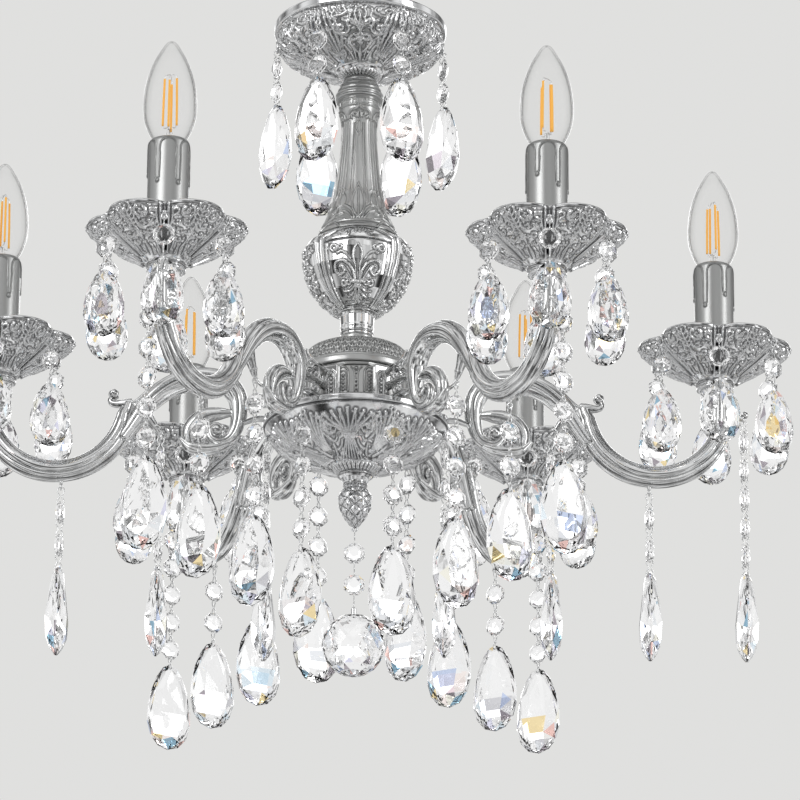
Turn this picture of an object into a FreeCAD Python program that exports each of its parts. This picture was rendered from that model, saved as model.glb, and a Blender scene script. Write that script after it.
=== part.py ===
"""Crystal chandelier: six scrolled arms on a turned stem, candle lamps and hanging crystals.

The frame is right-handed, in millimetres, with +Z up. The origin is the centre of the ceiling face of
the canopy, so the whole object lies at z <= 0. Arm 1 points along +X and the others follow every 60
degrees. Everything on one arm is drawn in that arm's own plane, with x as the radius, and turned.
"""
import FreeCAD, Part
import math
import os

import Sketcher
from FreeCAD import Placement, Rotation, Vector

ARMS = 6
STEP = 360 / ARMS
UP = Vector(0, 0, 1)
OUT = Vector(1, 0, 0)
HEX = 6
OCTAGON = 8

# Driving dimensions: alias, value in millimetres (degrees where the name says so), meaning.
DIMENSIONS = [
    ("canopy_diameter", 120, "ceiling canopy over its plain rim"),
    ("canopy_rim_height", 6, "plain band of the canopy rim"),
    ("canopy_step", 2.2, "step in from the rim to the belly"),
    ("canopy_belly_height", 13, "upright part of the canopy belly"),
    ("canopy_depth", 38.5, "ceiling to the underside of the canopy"),
    ("shoulder_radius", 9, "rounding of the canopy belly"),
    ("wall", 1.8, "wall of the hollow castings"),
    ("plate", 2.5, "plates that the centre rod passes through"),
    ("rod_diameter", 10, "threaded tube through the whole stem"),
    ("rod_bore", 7, "wire way in the threaded tube"),
    ("rod_clearance", 0.15, "radial clearance of the rod in the castings"),
    ("thread_clearance", 0.05, "radial clearance of a nut on its thread"),
    ("bar_length", 104, "mounting bar on the ceiling"),
    ("bar_width", 18, "mounting bar on the ceiling"),
    ("bar_thickness", 2, "mounting bar on the ceiling"),
    ("screw_spacing", 70, "ceiling screw holes, centre to centre"),
    ("screw_hole", 5, "diameter of a ceiling screw hole"),
    ("nut_flats", 14, "M10 nut across flats"),
    ("nut_height", 4, "M10 nut"),
    ("column_height", 121.5, "ornate column under the canopy"),
    ("column_radius", 13, "column at its slimmest"),
    ("vase_height", 71.5, "urn under the column"),
    ("vase_radius", 38, "urn at its widest"),
    ("neck_radius", 11.6, "neck under the urn"),
    ("dome_height", 32, "dome over the hub"),
    ("hub_radius", 42, "dome and hub at their widest"),
    ("drum_height", 31, "hub drum that carries the arms"),
    ("drum_inset", 3, "widest of the hub to an arm's flat seat"),
    ("drum_wall", 4, "wall of the drum"),
    ("bowl_height", 36, "leaf bowl under the hub"),
    ("bowl_radius", 63.5, "rim of the leaf bowl"),
    ("bowl_gap", 10.35, "bowl rim to the arms"),
    ("finial_height", 38, "bud under the bowl"),
    ("finial_radius", 11.3, "bud at its widest"),
    ("finial_bore", 7, "depth of the bud's thread"),
    ("cup_radius", 52, "candle cup at the tip of a lobe"),
    ("cup_height", 33, "candle cup, seat to rim"),
    ("cup_floor", 8, "seat to the floor inside a candle cup"),
    ("lobe_radius", 22, "arc of one of the six lobes of a cup"),
    ("sleeve_diameter", 27, "candle sleeve"),
    ("sleeve_wall", 1.5, "candle sleeve"),
    ("sleeve_height", 84.5, "candle sleeve"),
    ("socket_gap", 1, "lamp socket to the sleeve round it"),
    ("cap_diameter", 14, "E14 cap of the bulb"),
    ("cap_length", 22, "E14 cap of the bulb"),
    ("bulb_diameter", 35, "candle bulb"),
    ("bulb_length", 70, "glass above the sleeve"),
    ("bulb_sink", 8, "top of the sleeve down to the top of the bulb's cap"),
    ("bulb_gap", 1.3, "bulb's glass to the mouth of its sleeve"),
    ("glass", 0.8, "wall of the bulb's glass"),
    ("tube_diameter", 14.3, "cast tube of the arm"),
    ("sweep_radius", 48.3, "centre line of the arm's lower sweep"),
    ("sweep_below_hub", 19.5, "top of the hub down to the centre of the lower sweep"),
    ("bend_room", 2.15, "inside of the tightest curls of an arm"),
    ("arch_radius", 28.5, "centre line of the arm's arch"),
    ("arch_gap", 17.7, "outer leg of the arch to the inner end of the sweep, centre lines"),
    ("arch_below_hub", 27, "top of the hub down to the centre of the arch"),
    ("flange_width", 22, "arm's root plate on the drum"),
    ("flange_margin", 2, "ends of the drum to an arm's root plate"),
    ("flange_thickness", 4, "arm's root plate on the drum"),
    ("web_thickness", 9, "leaf bracket between root plate and arch"),
    ("arm_screw", 5, "diameter of an arm's fixing screw"),
    ("arm_screw_pitch", 16, "between an arm's two screws"),
    ("lug_thickness", 2, "eyelets that the crystals hang from"),
    ("lug_width", 5, "eyelets that the crystals hang from"),
    ("lug_hole", 1.8, "hole of an eyelet, and of a crystal"),
    ("lug_rim", 1.2, "metal below the hole of an eyelet"),
    ("link_wire", 0.8, "chrome link between two crystals"),
    ("link_depth", 5.8, "front to back of a link, on its centre line"),
    ("bead_size", 14, "octagon bead across its flats"),
    ("bead_thickness", 6, "octagon bead"),
    ("bead_hole_inset", 2, "edge of a bead to its hole"),
    ("drop_width", 35, "large crystal drop"),
    ("drop_height", 63, "large crystal drop"),
    ("drop_thickness", 14.7, "large crystal drop"),
    ("drop_hole_inset", 4, "tip of a drop to its hole"),
    ("pendant_width", 28, "crystal drop of a candle cup"),
    ("pendant_height", 46, "crystal drop of a candle cup"),
    ("pendant_thickness", 11, "crystal drop of a candle cup"),
    ("ball_diameter", 43, "faceted ball at the bottom"),
    ("ball_below_bud", 83, "tip of the bud down to the centre of the ball"),
    ("drop_line", 166.5, "top of the bowl down to the lowest tips of the large drops"),
    ("canopy_strand", 103.5, "eyelet of the canopy down to the tip of its drop"),
    ("nub_length", 3.5, "hole of the ball's nub down to the ball"),
    ("pendant_span", 32, "eyelet of a cup down to the hole of its drop"),
    ("pendant_link", 7.25, "eyelet of a cup down to the hole of its bead"),
    ("pendant_twist_degrees", 45, "turn that builds up along the pendants beside a cup"),
    ("canopy_twist_degrees", 35, "turn that builds up along the canopy's strands to the left and right"),
    ("bowl_turn_degrees", -5.5, "turn of the bowl's crystals about the axis"),
]

document = FreeCAD.newDocument("crystal_chandelier")
sheet = document.addObject("Spreadsheet::Sheet", "Sizes")
for row, (alias, value, meaning) in enumerate(DIMENSIONS, start=1):
    sheet.set(f"A{row}", meaning)
    sheet.set(f"B{row}", str(value))
    sheet.setAlias(f"B{row}", alias)
document.recompute()


class Size:
    """A length that carries the spreadsheet expression it comes from."""

    def __init__(self, value, text):
        self.value = value
        self.text = text

    def join(self, other, sign, value):
        return Size(value, f"({self.text} {sign} {as_size(other).text})")

    def __add__(self, other):
        return self.join(other, "+", self.value + as_size(other).value)

    def __sub__(self, other):
        return self.join(other, "-", self.value - as_size(other).value)

    def __mul__(self, other):
        return self.join(other, "*", self.value * as_size(other).value)

    def __truediv__(self, other):
        return self.join(other, "/", self.value / as_size(other).value)

    def __neg__(self):
        return Size(-self.value, f"(0 - {self.text})")

    def __radd__(self, other):
        return as_size(other) + self

    def __rsub__(self, other):
        return as_size(other) - self

    def __rmul__(self, other):
        return as_size(other) * self


def as_size(number):
    return number if isinstance(number, Size) else Size(number, f"{number:.6g}")


def size(alias):
    """The named driving dimension, as it stands in the sheet."""
    return Size(float(sheet.get(alias)), f"Sizes.{alias}")


def mm(alias):
    return size(alias).value


def root(area):
    return Size(math.sqrt(area.value), f"sqrt({area.text})")


def bind(item, prop, length):
    item.setExpression(prop, as_size(length).text)


# Heights of the stack along the stem, measured down from the ceiling.
COLUMN_TOP = size("canopy_depth")
VASE_TOP = COLUMN_TOP + size("column_height")
DOME_TOP = VASE_TOP + size("vase_height")
DRUM_TOP = DOME_TOP + size("dome_height")
BOWL_TOP = DRUM_TOP + size("drum_height")
FINIAL_TOP = BOWL_TOP + size("bowl_height")
FINIAL_TIP = FINIAL_TOP + size("finial_height")
ROD_HOLE = size("rod_diameter") / 2 + size("rod_clearance")
NUT_HOLE = size("rod_diameter") / 2 + size("thread_clearance")
ROOT_DROP = DRUM_TOP + size("drum_height") / 2
DRUM_FLAT = size("hub_radius") - size("drum_inset")
STEM_FOOT = size("neck_radius") + 2.4
SCREW_REACH = size("flange_thickness") + 5

# Curves of an arm, from the bowl's rim outwards, and the candle cup that stands on the arm's end.
TUBE = size("tube_diameter") / 2
CURL = TUBE + size("bend_room")
ARCH_INSIDE = size("bowl_radius") + size("bowl_gap") + TUBE
ARCH_CENTRE = ARCH_INSIDE + size("arch_radius")
ARCH_OUTSIDE = ARCH_CENTRE + size("arch_radius")
ARCH_DROP = DRUM_TOP + size("arch_below_hub")
SWEEP_CENTRE = ARCH_OUTSIDE + size("arch_gap") + size("sweep_radius")
SWEEP_DROP = DRUM_TOP + size("sweep_below_hub")
SWEEP_OUT = SWEEP_CENTRE + size("sweep_radius")
END_BEND = TUBE + 0.15
CUP_CIRCLE = SWEEP_OUT - END_BEND
CUP_SEAT = SWEEP_DROP - END_BEND - TUBE - 0.05
NUT_FLOOR = size("cup_floor") + size("nut_height")
SOCKET_RADIUS = size("sleeve_diameter") / 2 - size("sleeve_wall") - size("socket_gap")

# Notches of a candle cup lie between its lobes, and the eyelets hang just outside them.
REACH = size("cup_radius") - size("lobe_radius")
ASIDE = REACH * math.sin(math.pi / HEX)
NOTCH = root(size("lobe_radius") * size("lobe_radius") - ASIDE * ASIDE) + REACH * math.cos(math.pi / HEX)
CUP_HOOK = NOTCH + 1.9
STUB_LOW = size("cup_floor") + (size("cup_height") - size("cup_floor")) * 0.66
CUP_HOOK_HEIGHT = STUB_LOW - 2.6

# Eyelets of the strands: how far from the axis and how far below the ceiling.
HOOKS = {
    "outer": (SWEEP_OUT + 11.7, SWEEP_DROP + 6.3),
    "low": (SWEEP_CENTRE - 4.7, SWEEP_DROP + size("sweep_radius") + TUBE + 3.55),
    "inner": (ARCH_OUTSIDE + 1.65 - TUBE, ARCH_DROP + 15),
    "bowl": (size("bowl_radius") - 2.5, BOWL_TOP + 9.5),
    "canopy": (size("canopy_diameter") / 2 - 2, size("canopy_belly_height") + 5.5),
    "ball": (as_size(0), FINIAL_TIP + 1.1),
}


# ---------------------------------------------------------------- sketches and features

def plane(body, role):
    return next(item for item in body.Origin.OriginFeatures if item.Role == role)


def new_body(label, turn=0, lift=0):
    """A body with its own placement: turned about Z by degrees, then lifted."""
    body = document.addObject("PartDesign::Body", label)
    body.Label = label
    body.Placement = Placement(Vector(), Rotation(UP, turn))
    bind(body, ".Placement.Base.z", lift)
    return body


def new_sketch(body, name, role="XZ_Plane", offset=0):
    sketch = body.newObject("Sketcher::SketchObject", name)
    sketch.AttachmentSupport = [(plane(body, role), "")]
    sketch.MapMode = "FlatFace"
    bind(sketch, ".AttachmentOffset.Base.z", offset)
    return sketch


def pin_point(sketch, index, corner, point):
    """Holds one end of an edge at its place from the sketch's origin."""
    for kind, length in zip(("DistanceX", "DistanceY"), point):
        item = sketch.addConstraint(Sketcher.Constraint(kind, -1, 1, index, corner, length.value))
        sketch.setExpression(f"Constraints[{item}]", length.text)


def flat(point):
    return Vector(point[0].value, point[1].value, 0)


def arc_middle(start, end, radius, side):
    """Point halfway along the short arc of a radius, left (1) or right (-1) of the way from start to end."""
    chord = end - start
    rise = radius - math.sqrt(max(radius**2 - (chord.Length / 2) ** 2, 0))
    return (start + end) * 0.5 + Vector(-chord.y, chord.x, 0).normalize() * rise * side


def draw(sketch, points, closed=True):
    """Edges through (x, y) points. A third item (radius, side) makes the edge up to that point an arc."""
    spots = [tuple(as_size(length) for length in point[:2]) for point in points]
    bends = [point[2] if len(point) > 2 else None for point in points]
    pairs = list(zip(range(len(points)), range(1, len(points))))
    if closed:
        pairs.append((len(points) - 1, 0))
    ends = []
    for first, last in pairs:
        start, end, bend = flat(spots[first]), flat(spots[last]), bends[last]
        if bend is None:
            index = sketch.addGeometry(Part.LineSegment(start, end), False)
        else:
            radius = as_size(bend[0])
            middle = arc_middle(start, end, radius.value, bend[1])
            index = sketch.addGeometry(Part.Arc(start, middle, end), False)
            item = sketch.addConstraint(Sketcher.Constraint("Radius", index, radius.value))
            sketch.setExpression(f"Constraints[{item}]", radius.text)
        to_start = [sketch.getPoint(index, corner).distanceToPoint(start) for corner in (1, 2)]
        forward = to_start[0] < to_start[1]
        ends.append((index, 1 if forward else 2, 2 if forward else 1, first))
    for index, corner, _, first in ends:
        pin_point(sketch, index, corner, spots[first])
    joins = list(zip(ends, ends[1:]))
    if closed:
        joins.append((ends[-1], ends[0]))
    else:
        pin_point(sketch, ends[-1][0], ends[-1][2], spots[-1])
    for before, after in joins:
        sketch.addConstraint(Sketcher.Constraint("Coincident", before[0], before[2], after[0], after[1]))
    return sketch


def draw_circle(sketch, radius, centre=(0, 0)):
    spot = tuple(as_size(length) for length in centre)
    radius = as_size(radius)
    index = sketch.addGeometry(Part.Circle(flat(spot), UP, radius.value), False)
    item = sketch.addConstraint(Sketcher.Constraint("Radius", index, radius.value))
    sketch.setExpression(f"Constraints[{item}]", radius.text)
    pin_point(sketch, index, 3, spot)


def shares(points, low, high, tall, top=0):
    """Profile points from shares: across from one radius to another, and down a height below the top."""
    return [(low + (high - low) * across, top - tall * down) for across, down in points]


def revolve(body, points, name="Turned"):
    sketch = draw(new_sketch(body, name + "Outline"), points)
    feature = body.newObject("PartDesign::Revolution", name)
    feature.Profile = sketch
    feature.ReferenceAxis = (sketch, ["V_Axis"])
    feature.Angle = 360
    sketch.Visibility = False
    return feature


def pad(body, name, sketch, length, middle=False, back=False):
    feature = body.newObject("PartDesign::Pad", name)
    feature.Profile = sketch
    bind(feature, "Length", length)
    feature.Midplane = middle
    feature.Reversed = back
    return feature


def pocket(body, name, sketch, length, middle=False, back=False):
    feature = body.newObject("PartDesign::Pocket", name)
    feature.Profile = sketch
    bind(feature, "Length", length)
    feature.Midplane = middle
    feature.Reversed = back
    return feature


def repeat(body, name, features, count):
    """Copies features round the body's own Z axis."""
    pattern = body.newObject("PartDesign::PolarPattern", name)
    pattern.Originals = features
    pattern.Axis = (plane(body, "Z_Axis"), [""])
    pattern.Angle = 360
    pattern.Occurrences = count
    body.Tip = pattern
    return pattern


def hook_lug(body, name, radius, top, hole, turn=0):
    """An eyelet: a small plate square to the radius with a hole along it, up from the hole to its root."""
    thickness, width = size("lug_thickness"), size("lug_width")
    low = hole - size("lug_hole") / 2 - size("lug_rim")
    sketch = new_sketch(body, name + "Plate", "YZ_Plane", radius - thickness / 2)
    half = width / 2
    draw(sketch, [(-half, top), (-half, low), (half, low), (half, top)])
    plate = pad(body, name, sketch, thickness)
    bore = new_sketch(body, name + "Eye", "YZ_Plane", radius - thickness)
    draw_circle(bore, size("lug_hole") / 2, (0, hole))
    eye = pocket(body, name + "Hole", bore, thickness * 2, back=True)
    return [plate, eye]


# ---------------------------------------------------------------- stem

def mounting_crossbar():
    """Steel bar that is screwed to the ceiling; the rod hangs from its middle."""
    body = new_body("mounting_crossbar")
    long, wide = size("bar_length") / 2, size("bar_width") / 2
    sketch = new_sketch(body, "BarOutline", "XY_Plane")
    draw(sketch, [(-long, -wide), (long, -wide), (long, wide), (-long, wide)])
    pad(body, "Bar", sketch, size("bar_thickness"), back=True)
    holes = new_sketch(body, "BarHoles", "XY_Plane")
    draw_circle(holes, NUT_HOLE)
    draw_circle(holes, size("screw_hole") / 2, (size("screw_spacing") / 2, 0))
    draw_circle(holes, size("screw_hole") / 2, (-size("screw_spacing") / 2, 0))
    pocket(body, "Holes", holes, size("bar_thickness") * 2)
    return body


def canopy_dish():
    """Hollow ceiling canopy with a plain rim, a round belly and six eyelets."""
    body = new_body("canopy_dish")
    rim, wall = size("canopy_diameter") / 2, size("wall")
    belly = rim - size("canopy_step")
    shoulder = size("shoulder_radius")
    deep, upright = size("canopy_depth"), size("canopy_belly_height")
    turn_end = -upright - shoulder * 0.845
    cone = (-deep - turn_end) * -0.61
    revolve(body, [
        (rim, 0), (rim, -size("canopy_rim_height")), (belly, -size("canopy_rim_height")), (belly, -upright),
        (belly - shoulder * 0.867, turn_end, (shoulder, -1)), (belly * 0.4, turn_end - cone),
        (belly * 0.19, -deep), (ROD_HOLE, -deep), (ROD_HOLE, -deep + size("plate")),
        (belly * 0.18, -deep + size("plate")), (belly * 0.388, turn_end - cone + wall),
        (belly - shoulder * 0.944, turn_end + wall), (belly - wall, -upright, (shoulder - wall, 1)),
        (belly - wall, 0)])
    radius, drop = HOOKS["canopy"]
    eyelet = hook_lug(body, "Eyelet", radius, -upright + 1, -drop)
    repeat(body, "Eyelets", eyelet, ARMS)
    return body


def threaded_rod():
    """Hollow M10 tube from the mounting bar to the finial; the wires run down its bore."""
    body = new_body("threaded_rod", lift=-0.2)
    sketch = new_sketch(body, "RodSection", "XY_Plane")
    draw_circle(sketch, size("rod_diameter") / 2)
    draw_circle(sketch, size("rod_bore") / 2)
    pad(body, "Rod", sketch, FINIAL_TOP + size("finial_bore") - 0.7, back=True)
    return body


def stem_column():
    """Hollow ornate column: a flared collar, a slim shaft and a bell foot."""
    body = new_body("stem_column", lift=-COLUMN_TOP)
    slim, tall = size("column_radius"), size("column_height")
    wall = size("wall")
    outline = [(-4.4, 0), (-0.5, 0.045), (3, 0.095), (3, 0.12), (1, 0.14), (1, 0.19), (0, 0.31), (0, 0.453),
               (1, 0.6), (3.4, 0.753), (7.5, 0.872), (13, 0.965), (16.4, 1)]
    hollow = [(16.4, 1), (13.3, 0.955), (7.3, 0.86), (3.4, 0.745), (1, 0.596), (0, 0.453), (0, 0.165)]
    outer = [(slim + out, -tall * down) for out, down in outline]
    inner = [(slim + out - wall, -tall * down) for out, down in hollow]
    revolve(body, outer + inner + [(ROD_HOLE, -tall * 0.14), (ROD_HOLE, 0)])
    return body


def vase():
    """Hollow urn on a narrow neck."""
    body = new_body("vase", lift=-VASE_TOP)
    wide, neck, tall, wall = size("vase_radius"), size("neck_radius"), size("vase_height"), size("wall")
    lid = size("plate")
    outline = [(0.7, 0), (0.98, 0.084), (1, 0.14), (0.98, 0.252), (0.9, 0.406), (0.674, 0.615),
               (0.337, 0.717), (0, 0.797), (0, 0.923)]
    hollow = [(0, 1), (0, 0.786), (0.36, 0.697), (0.67, 0.596), (0.9, 0.398), (0.98, 0.25), (1, 0.14)]
    revolve(body, shares(outline, neck, wide, tall) + [(STEM_FOOT, -tall * 0.965), (STEM_FOOT, -tall)]
            + shares(hollow, neck - wall, wide - wall, tall)
            + [(wide - 2.4, -lid - 4.7), (wide - 9.5, -lid), (ROD_HOLE, -lid), (ROD_HOLE, 0)])
    return body


def hub_dome():
    """Dome that closes the hub from above; its top takes the foot of the urn."""
    body = new_body("hub_dome", lift=-DOME_TOP)
    wide, tall, wall, lid = size("hub_radius"), size("dome_height"), size("wall"), size("plate")
    outline = [(0, 0), (0, 0.063), (0.286, 0.25), (0.643, 0.42), (0.804, 0.53), (0.91, 0.75), (1, 0.875),
               (1, 1)]
    hollow = [(0.86, 1), (0.86, 0.92), (0.96, 0.875), (0.905, 0.78), (0.79, 0.57), (0.615, 0.48),
              (0.25, 0.31)]
    revolve(body, shares(outline, STEM_FOOT, wide, tall) + shares(hollow, STEM_FOOT, wide - wall, tall)
            + [(STEM_FOOT - 1, -lid - 1.2), (ROD_HOLE, -lid - 1.2), (ROD_HOLE, 0)])
    return body


def primitive(kind, label, turn=0, lift=0, **lengths):
    """A Part primitive with bound sizes, turned about Z and lifted."""
    item = document.addObject(f"Part::{kind}", label)
    for prop, length in lengths.items():
        bind(item, prop, length)
    item.Placement = Placement(Vector(), Rotation(UP, turn))
    bind(item, ".Placement.Base.z", lift)
    return item


def combine(kind, label, **links):
    item = document.addObject(f"Part::{kind}", label)
    for prop, link in links.items():
        setattr(item, prop, link)
    return item


def hub_drum():
    """Round drum with six flat seats for the arms, a floor, and two screw holes behind each arm."""
    across = 1 / math.cos(math.pi / HEX)
    floor = size("plate")
    outside = primitive("Prism", "DrumFlats", turn=STEP / 2, lift=-BOWL_TOP, Height=size("drum_height"),
                        Circumradius=DRUM_FLAT * across)
    outside.Polygon = HEX
    inside = primitive("Prism", "DrumCavity", turn=STEP / 2, lift=-BOWL_TOP + floor,
                       Height=size("drum_height"), Circumradius=(DRUM_FLAT - size("drum_wall")) * across)
    inside.Polygon = HEX
    barrel = primitive("Cylinder", "DrumBarrel", lift=-BOWL_TOP, Height=size("drum_height"),
                       Radius=size("hub_radius"))
    bore = primitive("Cylinder", "DrumBore", lift=-BOWL_TOP - floor, Height=floor * 3, Radius=ROD_HOLE)
    shell = combine("Common", "DrumShell", Base=outside, Tool=barrel)
    hollow = combine("Cut", "DrumHollow", Base=shell, Tool=inside)
    bored = combine("Cut", "DrumBored", Base=hollow, Tool=bore)
    holes = []
    for arm in range(ARMS):
        for side in (-1, 1):
            hole = document.addObject("Part::Cylinder", "ScrewHole")
            bind(hole, "Radius", size("arm_screw") / 2 + size("rod_clearance"))
            bind(hole, "Height", size("hub_radius") * 1.2)
            along = Rotation(UP, arm * STEP).multiply(Rotation(Vector(0, 1, 0), 90))
            hole.Placement = Placement(Vector(), along)
            bind(hole, ".Placement.Base.z", -ROOT_DROP + size("arm_screw_pitch") / 2 * side)
            holes.append(hole)
    drill = combine("MultiFuse", "DrumDrill", Shapes=holes)
    drum = combine("Cut", "hub_drum", Base=bored, Tool=drill)
    return drum


def lower_bowl():
    """Open bowl under the hub, with a boss for the rod and six eyelets below its rim."""
    turn = mm("bowl_turn_degrees")
    body = new_body("lower_bowl", turn=turn, lift=-BOWL_TOP)
    rim, tall, wall = size("bowl_radius"), size("bowl_height"), size("wall")
    ring, boss = 12.2, 9
    outline = [(1, 0), (1, 0.11), (0.951, 0.14), (0.893, 0.236), (0.632, 0.611), (0.23, 0.875), (0.152, 0.93),
               (0, 0.945), (0, 1)]
    hollow = [(0, 0), (0, 0.86), (0.266, 0.8), (0.655, 0.55), (0.909, 0.18), (1, 0.1), (1, 0)]
    revolve(body, shares(outline, ring, rim, tall) + [(ROD_HOLE, -tall), (ROD_HOLE, 0)]
            + shares(hollow, boss, rim - wall, tall))
    radius, drop = HOOKS["bowl"]
    eyelet = hook_lug(body, "Eyelet", radius, -tall * 0.085, BOWL_TOP - drop)
    repeat(body, "Eyelets", eyelet, ARMS)
    return body


def finial():
    """Bud that screws onto the rod and carries the ball strand on an eyelet."""
    body = new_body("finial", lift=-FINIAL_TOP)
    tall, bud = size("finial_height"), size("finial_radius")
    outline = [(0.708, 0.22), (0.52, 0.255), (0.8, 0.368), (1, 0.513), (0.93, 0.684), (0.62, 0.868),
               (0.2, 1), (0, 1)]
    revolve(body, [(12, 0), (12, -2)] + shares(outline, 0, bud, tall)
            + [(0, -size("finial_bore")), (NUT_HOLE, -size("finial_bore")), (NUT_HOLE, 0)])
    eye_drop = HOOKS["ball"][1] - FINIAL_TOP
    low = -eye_drop - size("lug_hole") / 2 - size("lug_rim")
    half = size("lug_width") / 2
    plate = new_sketch(body, "EyeletPlate")
    draw(plate, [(-half, low), (half, low), (half, -tall + 2), (-half, -tall + 2)])
    pad(body, "Eyelet", plate, size("lug_thickness"), middle=True)
    eye = new_sketch(body, "EyeletEye")
    draw_circle(eye, size("lug_hole") / 2, (0, -eye_drop))
    pocket(body, "EyeletHole", eye, size("lug_thickness") * 2, middle=True)
    return body


# ---------------------------------------------------------------- arms

def pipe(body, name, path, profile_role, profile_offset, centre):
    """A round tube swept along a path sketch."""
    spine = draw(new_sketch(body, name + "Path"), path, closed=False)
    section = new_sketch(body, name + "Section", profile_role, profile_offset)
    draw_circle(section, size("tube_diameter") / 2, centre)
    feature = body.newObject("PartDesign::AdditivePipe", name)
    feature.Profile = section
    feature.Spine = spine
    return feature


def box_feature(body, name, x, z, width):
    """A block between two radii and two heights, centred on the arm's plane."""
    corners = [(x[0], z[0]), (x[1], z[0]), (x[1], z[1]), (x[0], z[1])]
    sketch = draw(new_sketch(body, name + "Outline"), corners)
    return pad(body, name, sketch, width, middle=True)


def arm(number):
    """One cast arm: root plate, leaf bracket, arch, lower sweep, cup seat with its stud, and eyelets."""
    body = new_body(f"arm_{number}", turn=(number - 1) * STEP)
    sweep, low, seat = size("sweep_radius"), -SWEEP_DROP, -CUP_SEAT
    top = low + CURL
    sweep_path = [
        (SWEEP_CENTRE - sweep + CURL, top), (SWEEP_CENTRE - sweep, low, (CURL, -1)),
        (SWEEP_CENTRE, low - sweep, (sweep, -1)), (SWEEP_OUT, low, (sweep, -1)),
        (CUP_CIRCLE, low + END_BEND, (END_BEND, -1))]
    pipe(body, "Sweep", sweep_path, "YZ_Plane", SWEEP_CENTRE - sweep + CURL, (0, top))
    arch, spring = size("arch_radius"), -ARCH_DROP
    merge = size("arch_gap") + 2.3
    volute_drop = spring - 5.5
    arch_path = [
        (ARCH_INSIDE + CURL * 2, volute_drop), (ARCH_INSIDE + CURL, volute_drop - CURL, (CURL, 1)),
        (ARCH_INSIDE, volute_drop, (CURL, 1)), (ARCH_INSIDE, spring),
        (ARCH_CENTRE, spring + arch, (arch, 1)), (ARCH_OUTSIDE, spring, (arch, 1)),
        (ARCH_OUTSIDE + merge, spring - merge, (merge, -1))]
    pipe(body, "Arch", arch_path, "XY_Plane", volute_drop, (ARCH_INSIDE + CURL * 2, 0))
    thick = size("flange_thickness")
    face = DRUM_FLAT + thick
    high, base = size("flange_margin") * -1 - DRUM_TOP, size("flange_margin") - BOWL_TOP
    box_feature(body, "RootPlate", (DRUM_FLAT, face), (base, high), size("flange_width"))
    span = ARCH_INSIDE - face
    web = new_sketch(body, "BracketOutline")
    draw(web, [
        (face - 1, high - 2), (face + span * 0.25, high - 4), (ARCH_INSIDE - 2, spring + 8),
        (ARCH_INSIDE, spring + 2), (face + span * 0.37, base + 5.5), (face - 1, base + 2.5)])
    pad(body, "Bracket", web, size("web_thickness"), middle=True)
    screws = new_sketch(body, "ScrewHoles", "YZ_Plane", DRUM_FLAT - 1)
    half = size("arm_screw_pitch") / 2
    draw_circle(screws, size("arm_screw") / 2 + size("thread_clearance"), (0, -ROOT_DROP + half))
    draw_circle(screws, size("arm_screw") / 2 + size("thread_clearance"), (0, -ROOT_DROP - half))
    pocket(body, "ScrewBores", screws, SCREW_REACH + 2, back=True)
    for name, radius, length in (("Seat", 10, 3), ("Neck", TUBE - 0.65, 6)):
        outline = new_sketch(body, name + "Outline", "XY_Plane", seat)
        draw_circle(outline, radius, (CUP_CIRCLE, 0))
        pad(body, name, outline, length, back=True)
    stud = new_sketch(body, "StudOutline", "XY_Plane", seat)
    draw_circle(stud, size("rod_diameter") / 2, (CUP_CIRCLE, 0))
    pad(body, "Stud", stud, NUT_FLOOR + 8)
    outer, drop = HOOKS["outer"]
    box_feature(body, "OuterSpur", (SWEEP_OUT, outer + 1), (1.4 - drop, 5 - drop), size("lug_width"))
    hook_lug(body, "OuterEyelet", outer, 5 - drop, -drop)
    radius, drop = HOOKS["low"]
    hook_lug(body, "LowEyelet", radius, low - sweep - 2, -drop)
    radius, drop = HOOKS["inner"]
    hook_lug(body, "InnerEyelet", radius, 9 - drop, -drop)
    return body


# ---------------------------------------------------------------- candle cups and lamps


def cup_pattern():
    """Candle cup with six lobes; an eyelet hangs at each notch between two lobes."""
    body = new_body("CandleCupPattern")
    wide, tall, floor, wall = size("cup_radius"), size("cup_height"), size("cup_floor"), size("wall")
    foot, basin = 10.5, 15
    outline = [(0, 1.02), (0.243, 0.82), (0.568, 0.54), (0.838, 0.28), (1, 0.06), (1, 0)]
    hollow = [(1, 0), (0.84, 0.2), (0.57, 0.455), (0.24, 0.73), (0.06, 0.89), (0, 1)]
    side = shares(outline, basin, wide, tall - floor, tall)
    inside = shares(hollow, basin + 0.5, wide - wall, tall - floor, tall)
    revolve(body, [(ROD_HOLE, floor), (ROD_HOLE, 0), (foot, 0), (foot, 3)] + side + inside)
    lobe = size("lobe_radius")
    trim = new_sketch(body, "LobesOutline", "XY_Plane")
    draw_circle(trim, wide + 5)
    corners = []
    for step in range(HEX):
        turn = math.radians(step * STEP)
        corners.append((NOTCH * math.cos(turn), NOTCH * math.sin(turn), (lobe, -1)))
    draw(trim, corners)
    pocket(body, "Lobes", trim, tall + 5, back=True)
    stub = new_sketch(body, "StubOutline")
    inner, outer = CUP_HOOK - 7, CUP_HOOK + size("lug_thickness") / 2
    draw(stub, [(inner, STUB_LOW), (outer, STUB_LOW), (outer, STUB_LOW + 2.2), (inner + 3, STUB_LOW + 2.2)])
    bracket = pad(body, "Stub", stub, size("lug_width"), middle=True)
    eyelet = hook_lug(body, "Eyelet", CUP_HOOK, STUB_LOW + 1, CUP_HOOK_HEIGHT)
    repeat(body, "Eyelets", [bracket] + eyelet, HEX)
    return body


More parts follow.
